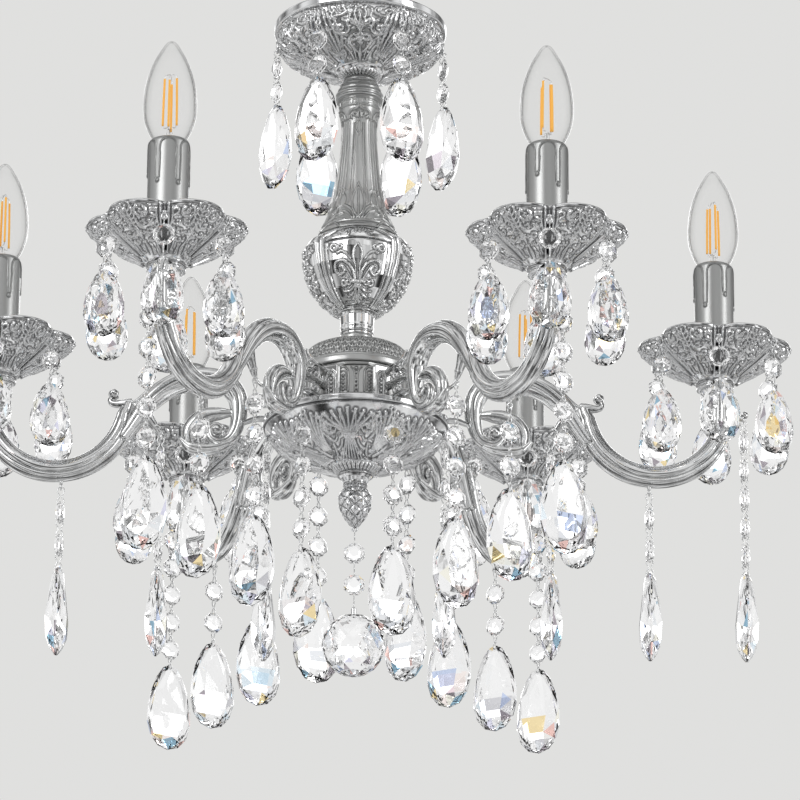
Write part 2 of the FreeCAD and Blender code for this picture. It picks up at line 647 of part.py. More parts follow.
def socket_pattern():
    """Lamp socket: a plain barrel with a bore for the bulb's cap and a thread for the stud below."""
    body = new_body("SocketPattern")
    radius, floor = SOCKET_RADIUS, NUT_FLOOR + 0.3
    mouth = size("cup_floor") + size("sleeve_height") - size("bulb_sink") - 1.5
    cap = size("cap_diameter") / 2 + 0.1
    depth = mouth - size("cap_length") - 3.5
    revolve(body, [
        (radius, floor), (radius, mouth - 1), (radius - 1, mouth), (cap, mouth), (cap, depth), (0, depth),
        (0, floor + 9), (NUT_HOLE, floor + 9), (NUT_HOLE, floor)])
    return body


def sleeve_pattern():
    """Candle sleeve, rounded at its top."""
    body = new_body("SleevePattern")
    radius, wall = size("sleeve_diameter") / 2, size("sleeve_wall")
    floor = size("cup_floor")
    top = floor + size("sleeve_height")
    revolve(body, [
        (radius, floor), (radius, top - wall), (radius - wall, top, (wall, 1)), (radius - wall, floor)])
    return body


def nut_pattern():
    """Plain M10 nut, its lower face at z = 0."""
    body = new_body("NutPattern")
    sketch = new_sketch(body, "NutOutline", "XY_Plane")
    across = size("nut_flats") / 2 / math.cos(math.pi / HEX)
    corners = [math.radians(corner * STEP) for corner in range(HEX)]
    draw(sketch, [(across * math.cos(turn), across * math.sin(turn)) for turn in corners])
    draw_circle(sketch, NUT_HOLE)
    pad(body, "Nut", sketch, size("nut_height"))
    return body


def screw_pattern():
    """Arm screw lying along +X, its head against the inside of the drum wall at x = 0."""
    body = new_body("ScrewPattern")
    shank = size("arm_screw") / 2
    head = new_sketch(body, "HeadOutline", "YZ_Plane")
    draw_circle(head, shank * 1.7)
    pad(body, "Head", head, 2.8, back=True)
    thread = new_sketch(body, "ShankOutline", "YZ_Plane")
    draw_circle(thread, shank)
    pad(body, "Shank", thread, size("drum_wall") + SCREW_REACH)
    return body


def turned(points):
    """Solid of revolution about Z from (radius, height) points, an arc where an edge has a middle point."""
    edges = []
    for first, last in zip(points, points[1:] + points[:1]):
        start, end = Vector(first[0], 0, first[1]), Vector(last[0], 0, last[1])
        if len(last) > 2:
            edges.append(Part.Arc(start, Vector(last[2][0], 0, last[2][1]), end).toShape())
        else:
            edges.append(Part.LineSegment(start, end).toShape())
    return Part.Face(Part.Wire(edges)).revolve(Vector(), UP, 360)


def bulb_shape():
    """Candle bulb standing on z = 0 at the top of its sleeve: glass, cap, and stem with four filaments."""
    wide, tall, glass = mm("bulb_diameter") / 2, mm("bulb_length"), mm("glass")
    cap, seat = mm("cap_diameter") / 2, -mm("bulb_sink")
    mouth = mm("sleeve_diameter") / 2 - mm("sleeve_wall") - mm("bulb_gap")
    neck, tip = cap - 0.2, 0.8
    belly, shoulder = tall * 0.34, tall * 0.843
    low = ((neck + mouth) / 2 + 0.2, seat / 2)
    high = ((wide + mouth) / 2 + wide * 0.06, tall * 0.145)
    outer = [(neck, seat), (mouth, 0, low), (wide, belly, high),
             (wide * 0.49, shoulder, (wide * 0.87, tall * 0.615)), (tip, tall, (wide * 0.26, tall * 0.95)),
             (0, tall)]
    inner = [(0, tall - glass), (tip, tall - glass),
             (wide * 0.49 - glass, shoulder - glass / 2, (wide * 0.26 - 0.2, tall * 0.95 - glass)),
             (wide - glass, belly, (wide * 0.87 - glass, tall * 0.615)),
             (mouth - glass, 0, (high[0] - glass, high[1])),
             (neck - glass, seat, (low[0] - glass, low[1]))]
    envelope = turned(outer + inner)
    foot = seat - mm("cap_length")
    base = turned([(0, seat), (cap, seat), (cap, foot), (cap * 0.43, foot - 2), (cap * 0.43, foot - 3),
                   (0, foot - 3)])
    ring, long = 3, tall * 0.54
    low = tall * 0.17
    mount = Part.makeCylinder(2.6, low - seat + 2, Vector(0, 0, seat))
    for turn in (45, 135, 225, 315):
        filament = Part.makeCylinder(0.8, long, Vector(ring, 0, low))
        mount = mount.fuse(filament.rotated(Vector(), UP, turn))
    for height in (low, low + long - 0.8):
        mount = mount.fuse(Part.makeCylinder(ring + 1.2, 0.8, Vector(0, 0, height)))
    return Part.makeCompound([envelope, base, mount])


# ---------------------------------------------------------------- crystals

def polygon_wire(points, depth):
    """Closed polygon of (y, z) points at one depth along X."""
    corners = [Vector(depth, y, z) for y, z in points]
    return Part.makePolygon(corners + corners[:1])


def cut_stone(outline, middle, thickness, girdle, table):
    """Stone with a broad facet front and back: the outline at the girdle, shrunk to a table each way."""
    small = [(y * table, middle + (z - middle) * table) for y, z in outline]
    layers = [(small, -thickness / 2), (outline, -girdle), (outline, girdle), (small, thickness / 2)]
    return Part.makeLoft([polygon_wire(points, depth) for points, depth in layers], True, True)


def drilled(stone, heights, depth):
    """Bores the stone along X at each height."""
    for height in heights:
        hole = Part.makeCylinder(mm("lug_hole") / 2, depth, Vector(-depth / 2, 0, height), OUT)
        stone = stone.cut(hole)
    return stone


def bead_shape():
    """Octagon bead round the origin, drilled near its top and its bottom edge."""
    corner = mm("bead_size") / 2 / math.cos(math.pi / OCTAGON)
    turns = [math.radians((step + 0.5) * 360 / OCTAGON) for step in range(OCTAGON)]
    outline = [(corner * math.cos(turn), corner * math.sin(turn)) for turn in turns]
    hole = mm("bead_size") / 2 - mm("bead_hole_inset")
    stone = cut_stone(outline, 0, mm("bead_thickness"), 0.5, 0.45)
    return drilled(stone, (hole, -hole), mm("bead_thickness") * 2)


def drop_shape(width, height, thickness):
    """Pear drop whose hole is at the origin, its tip just above it."""
    inset = mm("drop_hole_inset")
    sides = 16
    outline = []
    for step in range(sides):
        turn = 2 * math.pi * step / sides
        swell = 1 - 0.24 * math.cos(turn)
        outline.append((width / 2 * math.sin(turn) * swell / 1.03, inset - height * (1 - math.cos(turn)) / 2))
    stone = cut_stone(outline, inset - height * 0.58, thickness, 0.9, 0.5)
    return drilled(stone, (0,), thickness * 2)


def ball_shape():
    """Faceted ball that hangs from a drilled nub; the hole of the nub is at the origin."""
    radius = mm("ball_diameter") / 2
    nub_length = mm("nub_length")
    centre = -(radius + nub_length)
    facets = 12
    rows = 7
    wires = []
    for row_number in range(rows):
        tilt = math.radians(-78 + 156 * row_number / (rows - 1))
        ring = radius * math.cos(tilt)
        turns = [2 * math.pi * step / facets for step in range(facets)]
        height = centre + radius * math.sin(tilt)
        corners = [Vector(ring * math.cos(turn), ring * math.sin(turn), height) for turn in turns]
        wires.append(Part.makePolygon(corners + corners[:1]))
    ball = Part.makeLoft(wires, True, True)
    nub = Part.makeCylinder(1.8, nub_length + 2.5, Vector(0, 0, -nub_length - 0.7))
    return drilled(ball.fuse(nub), (0,), 10)


def link_shape(length):
    """Flat chrome link: a rounded loop through a hole at z = 0 and another that far below it."""
    wire, depth = mm("link_wire"), mm("link_depth")

    def loop(grow):
        half, top, bottom, corner = depth / 2 + grow, grow, -length - grow, 1.5 + grow
        sketch = []
        spots = [(half, top), (-half, top), (-half, bottom), (half, bottom)]
        signs = [(-1, -1), (1, -1), (1, 1), (-1, 1)]
        bend = corner * (1 - math.sqrt(0.5))
        for (x, z), (toward, rise), along in zip(spots, signs, (False, True, False, True)):
            across = Vector(x + toward * corner, 0, z)
            upright = Vector(x, 0, z + rise * corner)
            middle = Vector(x + toward * bend, 0, z + rise * bend)
            first, last = (across, upright) if along else (upright, across)
            sketch.append((first, middle, last))
        edges = []
        for (first, middle, last), (following, _, _) in zip(sketch, sketch[1:] + sketch[:1]):
            edges.append(Part.Arc(first, middle, last).toShape())
            edges.append(Part.LineSegment(last, following).toShape())
        return Part.Wire(edges)

    ring = Part.Face(loop(wire / 2)).cut(Part.Face(loop(-wire / 2)))
    return ring.extrude(Vector(0, wire, 0)).translated(Vector(0, -wire / 2, 0)).Solids[0]


def even_links(beads, span):
    """Lengths of the links that share out a span with its beads."""
    link = (span - beads * BEAD_PITCH) / (beads + 1)
    return [link] * (beads + 1)


def chain(links, end, twist=0):
    """Links with a bead between each two, below a hook at the origin, and the end piece at the last hole.

    A twist in degrees builds up evenly from the first link to the end piece.
    """
    pieces = []
    height = 0
    for number, length in enumerate(links):
        if number:
            pieces.append(BEAD.translated(Vector(0, 0, height - BEAD_PITCH / 2)))
            height -= BEAD_PITCH
        pieces.append(link_shape(length).translated(Vector(0, 0, height)))
        height -= length
    pieces.append(end.translated(Vector(0, 0, height)))
    step = twist / (len(pieces) + 1)
    return Part.makeCompound([piece.rotated(Vector(), UP, step * (number + 2))
                              for number, piece in enumerate(pieces)])


def place(label, shape, radius, turn, drop, facing=0):
    """A node of a shape made here, at a radius and an angle about the axis and a depth below the ceiling."""
    item = document.addObject("Part::Feature", label)
    item.Label = label
    item.Shape = shape
    angle = math.radians(turn)
    spot = Vector(radius * math.cos(angle), radius * math.sin(angle), -drop)
    item.Placement = Placement(spot, Rotation(UP, turn + facing))
    return item


def strands():
    """Every hanging strand: three on each arm, six on the bowl, six on the canopy and the ball.

    The canopy's strands to the left and right have twisted on their links.
    """
    drop = drop_shape(mm("drop_width"), mm("drop_height"), mm("drop_thickness"))
    to_hole = mm("drop_height") - mm("drop_hole_inset")
    line = BOWL_TOP.value + mm("drop_line")
    kinds = [("outer", 5, line, 0, 0), ("low", 2, line, 0, 0), ("inner", 4, line, 0, 0),
             ("bowl", 4, line + 1, mm("bowl_turn_degrees"), 0),
             ("canopy", 2, HOOKS["canopy"][1].value + mm("canopy_strand"), 0, mm("canopy_twist_degrees"))]
    made = []
    for kind, beads, tip, turn, twist in kinds:
        radius, drop_to_hook = (length.value for length in HOOKS[kind])
        links = even_links(beads, tip - to_hole - drop_to_hook)
        straight, twisted = chain(links, drop), chain(links, drop, twist)
        for number in range(ARMS):
            label = f"{kind}_crystal_strand_{number + 1}"
            shape = straight if number % (ARMS // 2) else twisted
            made.append(place(label, shape, radius, number * STEP + turn, drop_to_hook))
    nub = FINIAL_TIP.value + mm("ball_below_bud") - mm("ball_diameter") / 2 - mm("nub_length")
    hook = HOOKS["ball"][1].value
    ball = chain(even_links(2, nub - hook), ball_shape())
    made.append(place("ball_strand", ball, 0, 0, hook, facing=-90))
    return made


def cup_pendants():
    """Small bead and drop at each of the six eyelets of the six cups.

    The ones beside a cup have twisted on their links, so that every drop faces front or back.
    """
    drop = drop_shape(mm("pendant_width"), mm("pendant_height"), mm("pendant_thickness"))
    links = [mm("pendant_link"), mm("pendant_span") - mm("pendant_link") - BEAD_PITCH]
    twist = mm("pendant_twist_degrees")
    ways = [chain(links, drop, way * twist) for way in (1, 0, -1)]
    pieces = []
    for lamp in range(ARMS):
        for side in range(HEX):
            pendant = ways[(lamp + side) % len(ways)].translated(Vector(CUP_HOOK.value, 0, 0))
            pendant = pendant.rotated(Vector(), UP, (side + 0.5) * STEP)
            pendant.translate(Vector(CUP_CIRCLE.value, 0, CUP_HOOK_HEIGHT.value - CUP_SEAT.value))
            pieces.append(pendant.rotated(Vector(), UP, lamp * STEP))
    return place("cup_pendants", Part.makeCompound(pieces), 0, 0, 0)


def on_each_lamp(pattern, height=0):
    """A copy of a pattern on every arm's cup seat, raised by a height, its notches beside the arm."""
    copies = []
    for lamp in range(ARMS):
        copy = pattern.Shape.rotated(Vector(), UP, STEP / 2)
        copy.translate(Vector(CUP_CIRCLE.value, 0, height - CUP_SEAT.value))
        copies.append(copy.rotated(Vector(), UP, lamp * STEP))
    return copies


def fasteners():
    """Nuts of the rod and of the cups, and the screws of the arms."""
    nut, screw = nut_pattern(), screw_pattern()
    document.recompute()
    nuts = on_each_lamp(nut, mm("cup_floor"))
    below_bar = -mm("bar_thickness") - mm("nut_height")
    on_canopy = -mm("canopy_depth") + mm("plate")
    on_drum = -BOWL_TOP.value + mm("plate")
    for level in (below_bar, on_canopy, on_drum):
        nuts.append(nut.Shape.translated(Vector(0, 0, level)))
    screws = []
    for arm_number in range(ARMS):
        for side in (-1, 1):
            height = -ROOT_DROP.value + mm("arm_screw_pitch") / 2 * side
            copy = screw.Shape.translated(Vector(DRUM_FLAT.value - mm("drum_wall"), 0, height))
            screws.append(copy.rotated(Vector(), UP, arm_number * STEP))
    groups = {"m10_nuts": nuts, "arm_screws": screws}
    return [place(label, Part.makeCompound(solids), 0, 0, 0) for label, solids in groups.items()]


def lamps():
    """Cups, sleeves and sockets in groups of six, and a bulb in each sleeve."""
    patterns = [cup_pattern(), sleeve_pattern(), socket_pattern()]
    document.recompute()
    labels = ("candle_cups", "candle_sleeves", "lamp_sockets")
    nodes = [place(label, Part.makeCompound(on_each_lamp(pattern)), 0, 0, 0)
             for label, pattern in zip(labels, patterns)]
    top = CUP_SEAT.value - mm("cup_floor") - mm("sleeve_height")
    bulb = bulb_shape()
    for lamp in range(ARMS):
        nodes.append(place(f"bulb_{lamp + 1}", bulb, CUP_CIRCLE.value, lamp * STEP, top))
    return nodes


def terminal_block():
    """Wire connector on the floor of the drum."""
    body = new_body("terminal_block", lift=-BOWL_TOP + size("plate"))
    sketch = new_sketch(body, "BlockOutline", "XY_Plane")
    draw(sketch, [(12, -11), (22, -11), (22, 11), (12, 11)])
    pad(body, "Block", sketch, 12)
    wires = new_sketch(body, "WireHoles", "YZ_Plane", 11)
    for place_along in (-6, 0, 6):
        draw_circle(wires, 1.6, (place_along, 5))
    pocket(body, "Wires", wires, 12, back=True)
    return body


BEAD = bead_shape()
BEAD_PITCH = mm("bead_size") - 2 * mm("bead_hole_inset")
nodes = [mounting_crossbar(), canopy_dish(), threaded_rod(), stem_column(), vase(), hub_dome(), hub_drum(),
         lower_bowl(), finial(), terminal_block()]
nodes += [arm(number + 1) for number in range(ARMS)]
nodes += fasteners() + lamps() + [cup_pendants()] + strands()
document.recompute()

for item in document.Objects:
    if "Invalid" in item.State or "Error" in item.State:
        raise RuntimeError(f"{item.Label}: {item.State}")
os.makedirs("parts", exist_ok=True)
for node in nodes:
    if node.Shape.isNull() or not node.Shape.isValid():
        raise RuntimeError(f"{node.Label} has no valid shape")
    node.Shape.exportStep(f"parts/{node.Label}.step")
    print(node.Label, len(node.Shape.Solids), round(node.Shape.Volume, 1))
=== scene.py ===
import math
from collections import namedtuple

import bmesh
import bpy
import numpy as np
from mathutils import Matrix, Vector


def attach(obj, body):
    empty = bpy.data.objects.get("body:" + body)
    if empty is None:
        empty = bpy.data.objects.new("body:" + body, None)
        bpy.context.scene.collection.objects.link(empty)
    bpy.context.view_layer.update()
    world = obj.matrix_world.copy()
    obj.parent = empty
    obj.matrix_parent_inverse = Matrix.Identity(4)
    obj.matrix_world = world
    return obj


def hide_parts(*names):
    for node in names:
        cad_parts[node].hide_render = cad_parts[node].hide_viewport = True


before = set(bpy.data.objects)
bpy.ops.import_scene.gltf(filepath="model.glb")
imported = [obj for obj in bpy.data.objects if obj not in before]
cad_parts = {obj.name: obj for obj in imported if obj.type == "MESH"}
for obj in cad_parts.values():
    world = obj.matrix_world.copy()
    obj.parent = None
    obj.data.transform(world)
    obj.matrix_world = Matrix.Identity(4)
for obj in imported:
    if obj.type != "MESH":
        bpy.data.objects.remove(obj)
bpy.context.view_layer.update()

# Places are in millimetres and angles in degrees; places on a casting are (out from the axis, up).
MM = 0.001
ARMS = 6
STEP = 360 / ARMS
LAMP_SEAT = (245, 0, -268.5)
BULB_SEAT = (245, 0, -176)
HOOKS = {"outer": (264, -289.3), "low": (199.3, -342), "inner": (132.5, -305.5), "bowl": (61, -304),
         "canopy": (58, -18.5), "ball": (0, -369.6)}
CUP_HOOK = (43.97, 21.9)
NOTCHES = 6
BOWL_TURN = -5.5
FRONT = -90
# Painted shade value of plain surfaces (shell insides, plates, panel backs), a little darker than open relief
# ground.
PLAIN_SHADE_TONE = 0.8
rng = np.random.default_rng(7)


# ---------------------------------------------------------------- meshes, in millimetres

# Per point a value of painted crevice shade, 1 where none is painted; per face a painted flash colour for cut
# crystal.
Surface = namedtuple("Surface", "points loops sizes slot smooth tone tint")


class Build:
    """Collects closed surfaces and makes one object of them."""

    def __init__(self):
        self.parts = []

    def add(self, points, faces, slot=0, smooth=True, tone=1.0, tint=None):
        points = np.asarray(points, float)
        sizes = np.array([len(face) for face in faces])
        loops = np.concatenate([np.asarray(face) for face in faces])
        starts = np.concatenate([[0], np.cumsum(sizes)[:-1]])
        if volume(points, loops, starts, sizes) < 0:
            loops = np.concatenate([loops[a:a + n][::-1] for a, n in zip(starts, sizes)])
        tone = np.broadcast_to(np.asarray(tone, float), (len(points),))
        tint = np.ones((len(sizes), 3)) if tint is None else tint
        self.parts.append(Surface(points, loops, sizes, slot, smooth, tone, tint))

    def turned(self, degrees, shift=(0, 0, 0)):
        """A copy, moved and then turned about Z."""
        copy = Build()
        spin = np.array(Matrix.Rotation(math.radians(degrees), 3, "Z"))
        copy.parts = [part._replace(points=(part.points + np.array(shift)) @ spin.T) for part in self.parts]
        return copy

    def joined(self, field):
        return np.concatenate([getattr(part, field) for part in self.parts])

    def per_face(self, field):
        return np.concatenate([np.full(len(part.sizes), getattr(part, field)) for part in self.parts])

    def make(self, name, body, slot, materials, node):
        counts = np.cumsum([0] + [len(part.points) for part in self.parts])
        loops = np.concatenate([part.loops + first for part, first in zip(self.parts, counts)])
        points, sizes, facet_flashes = self.joined("points") * MM, self.joined("sizes"), self.joined("tint")
        mesh = bpy.data.meshes.new(name)
        mesh.vertices.add(len(points))
        mesh.vertices.foreach_set("co", points.ravel())
        mesh.loops.add(len(loops))
        mesh.loops.foreach_set("vertex_index", loops)
        mesh.polygons.add(len(sizes))
        mesh.polygons.foreach_set("loop_start", np.concatenate([[0], np.cumsum(sizes)[:-1]]))
        mesh.polygons.foreach_set("material_index", self.per_face("slot"))
        mesh.update(calc_edges=True)
        mesh.polygons.foreach_set("use_smooth", self.per_face("smooth"))
        # Painted crevice shade goes on each point, painted crystal flashes on each face.
        tone = mesh.attributes.new("tone", "FLOAT", "POINT")
        tone.data.foreach_set("value", self.joined("tone"))
        tint = mesh.attributes.new("tint", "FLOAT_COLOR", "FACE")
        tint.data.foreach_set("color", np.column_stack([facet_flashes, np.ones(len(facet_flashes))]).ravel())
        for surface in materials:
            mesh.materials.append(surface)
        piece = bpy.data.objects.new(name, mesh)
        bpy.context.scene.collection.objects.link(piece)
        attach(piece, body)
        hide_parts(node)


def volume(points, loops, starts, sizes):
    """Signed volume, from the fan of triangles of every face."""
    total = 0.0
    for count in np.unique(sizes):
        first = starts[sizes == count]
        corner = [points[loops[first + index]] for index in range(count)]
        for index in range(1, count - 1):
            total += np.einsum("ij,ij->", corner[0], np.cross(corner[index], corner[index + 1]))
    return total


def grid_faces(rows, cols, loop_rows=True, loop_cols=True):
    """Quads over a grid of points that closes on itself in one or both directions."""
    row = np.arange(rows if loop_rows else rows - 1)[:, None]
    col = np.arange(cols if loop_cols else cols - 1)[None, :]
    below, beside = (row + 1) % rows, (col + 1) % cols
    quads = [row * cols + col, row * cols + beside, below * cols + beside, below * cols + col]
    return np.stack([np.broadcast_to(q, (row.size, col.size)).ravel() for q in quads], 1)


def curve(points, fine=8):
    """A smooth line through points."""
    points = np.asarray(points, float)
    padded = np.vstack([2 * points[0] - points[1], points, 2 * points[-1] - points[-2]])
    share = np.linspace(0, 1, fine, endpoint=False)[:, None]
    pieces = []
    for a, b, c, d in zip(padded, padded[1:], padded[2:], padded[3:]):
        pieces.append(0.5 * (2 * b + (c - a) * share + (2 * a - 5 * b + 4 * c - d) * share**2
                             + (3 * b - a - 3 * c + d) * share**3))
    return np.vstack(pieces + [points[-1:]])


def resample(points, step):
    """Evenly spaced points along a line, and their distance from its start."""
    points = np.asarray(points, float)
    along = np.concatenate([[0], np.cumsum(np.linalg.norm(np.diff(points, axis=0), axis=1))])
    at = np.linspace(0, along[-1], max(int(along[-1] / step), 3) + 1)
    return np.stack([np.interp(at, along, points[:, axis]) for axis in range(points.shape[1])], 1), at


# ---------------------------------------------------------------- relief

# A stroke paints shade on the metal beside it out to this many half-widths, and no more where the metal is
# this high.
BESIDE = 2.2
FULL_LIFT = 0.9


def arc(x, y, radius, start, end, last=None, count=16):
    """An arc, or a spiral when it ends at another radius; angles in degrees."""
    turn = np.radians(np.linspace(start, end, count))
    reach = np.linspace(radius, radius if last is None else last, count)
    return np.stack([x + reach * np.cos(turn), y + reach * np.sin(turn)], 1)


def bow(start, end, bulge):
    """A line that bulges to one side by a share of its length."""
    start, end = np.array(start, float), np.array(end, float)
    share = np.linspace(0, 1, 7)[:, None]
    side = np.array([start[1] - end[1], end[0] - start[0]])
    return start + (end - start) * share + side * bulge * 4 * share * (1 - share)


def rings(*rows):
    """Plain bands right round: (place along the line, half-width, height)."""
    return [([(-60, s), (60, s)], half, half, height) for s, half, height in rows]


def even(path, half, height):
    """A list of one stroke whose width stays the same."""
    return [(path, half, half, height)]


def pearls(x, places, half, height):
    """A row of round bumps."""
    return [([(x, s), (x, s + 0.2)], half, half, height) for s in places]


def both(strokes):
    """The strokes and their mirror image."""
    return strokes + [(np.asarray(path, float) * [-1, 1], *rest) for path, *rest in strokes]


def leaf(root, tip, spread, pairs, width, height):
    """Acanthus leaf, its tip nearer the line's start: a midrib and pairs of fingers that lean to the tip."""
    length = tip - root
    strokes = [([(0, root), (0, tip)], width * 1.1, width * 0.6, height)]
    for pair in range(pairs):
        share = pair / (pairs - 1)
        base = root + length * (0.06 + 0.66 * share)
        reach = spread * (0.55 + 0.45 * math.sin(math.pi * (0.15 + 0.6 * share)))
        end = (reach * (1 - 0.35 * share), base + length * (0.2 + 0.16 * share))
        strokes += both([(bow((0.6, base), end, 0.16), width * 0.7, width * 1.15, height * 0.85)])
    return strokes


def lens(top, bottom, wide, height):
    """Pointed petal."""
    middle = top * 0.45 + bottom * 0.55
    return [([(0, top), (0, middle)], 0.3, wide, height), ([(0, middle), (0, bottom)], wide, 0.4, height)]


def nubs(count, x, s, low, high, height=1.1):
    """Cast grain: small round bumps strewn over a patch."""
    spots = np.column_stack([rng.uniform(*x, count), rng.uniform(*s, count)])
    return [([spot, spot + [0.4, 0.3]], size, size, height * size)
            for spot, size in zip(spots, rng.uniform(low, high, count))]


def fleur(y, scale, height):
    """Three petals tied by a band."""
    strokes = lens(y - 12 * scale, y + 5 * scale, 2.4 * scale, height)
    strokes += both([
        (bow((0.8, y + 4 * scale), (5.2 * scale, y - 5.5 * scale), -0.22), 0.9, 1.6 * scale, height),
        (arc(6.4 * scale, y - 4.2 * scale, 3.2 * scale, 200, 470, 0.9 * scale), 1.5 * scale, 0.8, height),
        (bow((0.6, y + 6 * scale), (6.5 * scale, y + 9.5 * scale), 0.2), 0.9, 1.5 * scale, height * 0.9)])
    strokes += even([(-4.4 * scale, y + 4.6 * scale), (4.4 * scale, y + 4.6 * scale)], 1.1, height)
    return strokes + lens(y + 5 * scale, y + 13 * scale, 1.8 * scale, height)


def emboss(x, s, scale, strokes, deep):
    """Lift and painted shade over a grid, the ground painted dark beside the strokes: (path, half-width at
    its start and end, height).
    """
    lift, near = np.zeros(x.shape), np.zeros(x.shape)
    for path, first, last, height in strokes:
        path = np.asarray(path, float)
        reach = max(first, last) * BESIDE
        (left, low), (right, high) = path.min(0), path.max(0)
        inside = (s > low - reach) & (s < high + reach)
        inside &= ((x - left) * scale > -reach) & ((x - right) * scale < reach)
        if not inside.any():
            continue
        xs, ss, ks = x[inside], s[inside], scale[inside]
        best = np.full(xs.shape, 9.0)
        spans = len(path) - 1
        for index in range(spans):
            (ax, ay), (bx, by) = path[index], path[index + 1]
            dx, dy = (bx - ax) * ks, by - ay
            px, py = (xs - ax) * ks, ss - ay
            share = np.clip((px * dx + py * dy) / (dx * dx + dy * dy + 1e-9), 0, 1)
            width = first + (last - first) * (index + share) / spans
            best = np.minimum(best, np.hypot(px - share * dx, py - share * dy) / width)
        lift[inside] = np.maximum(lift[inside], height * np.clip(1 - best**2, 0, 1) ** 0.75)
        # Painted shade: how near the ground lies to a stroke.
        near[inside] = np.maximum(near[inside], np.clip(BESIDE - best, 0, 1))
    return lift, 1 - near * (1 - np.clip(lift / FULL_LIFT, 0, 1)) * deep


def directions(line):
    """Unit vectors along a flat line and to its side."""
    tangent = np.gradient(line, axis=0)
    tangent /= np.linalg.norm(tangent, axis=1)[:, None]
    return tangent, np.stack([-tangent[:, 1], tangent[:, 0]], 1)


def lathe(build, outer, inner, step=0.6, cols=90, sectors=6, strokes=(), ref=40, start=0, extra=None, slot=0,
          shape=None, deep=0.75):
    """A turned shell whose outside carries a relief that repeats round it, closed by a plain inside line.

    Strokes are drawn in millimetres: x round the axis at the reference radius, s along the outside line."""
    line, along = resample(outer, step)
    normal = directions(line)[1]
    half = math.pi / sectors
    angle = np.linspace(-half, half, cols, endpoint=False)[None, :]
    grid = (len(line), cols)
    x = np.broadcast_to(angle * ref, grid)
    s = np.broadcast_to(along[:, None], grid)
    # Painted crevice shade beside the strokes; deep sets how dark it is.
    lift, tone = emboss(x, s, np.broadcast_to(line[:, :1] / ref, grid), strokes, deep)
    if extra is not None:
        more, dim = extra(angle, along[:, None], line)
        lift, tone = lift + more, tone * dim
    radius = line[:, :1] + normal[:, :1] * lift
    height = line[:, 1:] + normal[:, 1:] * lift
    inner = np.asarray(inner, float)
    below = (len(inner), cols)
    hollow = np.broadcast_to(inner[:, :1], below)
    if shape is not None:
        radius = shape(angle, radius, line[:, :1])
        hollow = shape(angle, hollow, inner[:, :1])
    stacks = ((radius, hollow), (height, np.broadcast_to(inner[:, 1:], below)),
              (tone, np.full(below, PLAIN_SHADE_TONE)))
    radius, height, tone = (np.tile(np.vstack(stack), (1, sectors)) for stack in stacks)
    count = cols * sectors
    turns = math.radians(start) - half + np.arange(count) * 2 * math.pi / count
    points = np.stack([radius * np.cos(turns), radius * np.sin(turns), height], 2).reshape(-1, 3)
    build.add(points, grid_faces(len(radius), count), slot, tone=tone.ravel())


def sweep(build, path, radius, around=32, flat=1.0, ribs=0, depth=0.0, step=1.0, slot=0, plain=False):
    """A tube along a line in the arm's plane, its half-height given along it.

    It is ribbed all round or, when plain, only on its outer side."""
    line, along = resample(path, step)
    size = np.interp(along / along[-1], np.linspace(0, 1, len(radius)), radius)
    tangent, side = directions(line)
    turn = np.arange(around) * 2 * math.pi / around
    groove = np.abs(np.cos(turn * ribs / 2)) ** 0.4 if ribs else np.ones(around)
    if plain:
        groove = 1 - (1 - groove) * np.clip((np.cos(turn) + 0.6) * 4, 0, 1)
    grown = size[:, None] * (1 - depth * (1 - groove))
    # Painted shade darkens the grooves between the ribs.
    tone = np.broadcast_to(0.2 + 0.8 * groove, grown.shape)
    off, across = grown * np.cos(turn), grown * np.sin(turn) * flat
    points = np.stack([line[:, :1] + side[:, :1] * off, across, line[:, 1:] + side[:, 1:] * off], 2)
    ends = []
    for row, way in ((0, -1), (-1, 1)):
        middle = line[row] + tangent[row] * way * size[row] * 0.5
        ends.append([middle[0], 0, middle[1]])
    rows = len(line)
    ring, base, tip = np.arange(around), (rows - 1) * around, np.full(around, rows * around)
    following = (ring + 1) % around
    caps = [np.stack([ring, tip, following], 1), np.stack([base + following, tip + 1, base + ring], 1)]
    faces = [*grid_faces(rows, around, loop_rows=False), *caps[0], *caps[1]]
    build.add(np.vstack([points.reshape(-1, 3), ends]), faces, slot,
              tone=np.concatenate([tone.ravel(), [1, 1]]))


def knob(build, centre, radius, squash=1.0):
    """A small ball with a spiral carved round it, the carving darkened with painted shade."""
    rows, cols = 14, 24
    tilt = np.linspace(0.02, math.pi - 0.02, rows)[:, None]
    turn = np.arange(cols)[None, :] * 2 * math.pi / cols
    carve = 0.93 + 0.07 * np.cos(turn * 2 + tilt * 6)
    reach = radius * carve
    points = np.stack([centre[0] + reach * np.sin(tilt) * np.cos(turn), centre[1]
                       + reach * np.cos(tilt) * squash, centre[2] + reach * np.sin(tilt) * np.sin(turn)],
                      2).reshape(-1, 3)
    faces = [*grid_faces(rows, cols, loop_rows=False), np.arange(cols), np.arange(cols)[::-1]
             + (rows - 1) * cols]
    build.add(points, faces, tone=np.clip((carve - 0.86) / 0.12, 0.3, 1).ravel())


def ring(build, path, across, thick, slot=1, around=6):
    """A wire along a closed flat line; across is the direction square to its plane."""
    path, across = np.asarray(path, float), np.asarray(across, float)
    tangent = np.roll(path, -1, 0) - np.roll(path, 1, 0)
    side = np.cross(tangent, across)
    side /= np.linalg.norm(side, axis=1)[:, None]
    turn = (np.arange(around) * 2 * math.pi / around)[None, :, None]
    points = path[:, None] + thick * (side[:, None] * np.cos(turn) + across * np.sin(turn))
    build.add(points.reshape(-1, 3), grid_faces(len(path), around), slot)


def eyelet(spot, root):
    """A ring square to the radius, and the stem that carries it."""
    build = Build()
    bore = 1.75
    turn = np.radians(np.arange(0, 360, 24))
    path = np.stack([np.full(len(turn), spot[0]), bore * np.cos(turn), spot[1] + bore * np.sin(turn)], 1)
    ring(build, path, (1, 0, 0), 0.7, slot=0, around=8)
    sweep(build, [root, (spot[0], spot[1] + 1.7)], [1.6, 1.1], around=10, step=1.5)
    return build


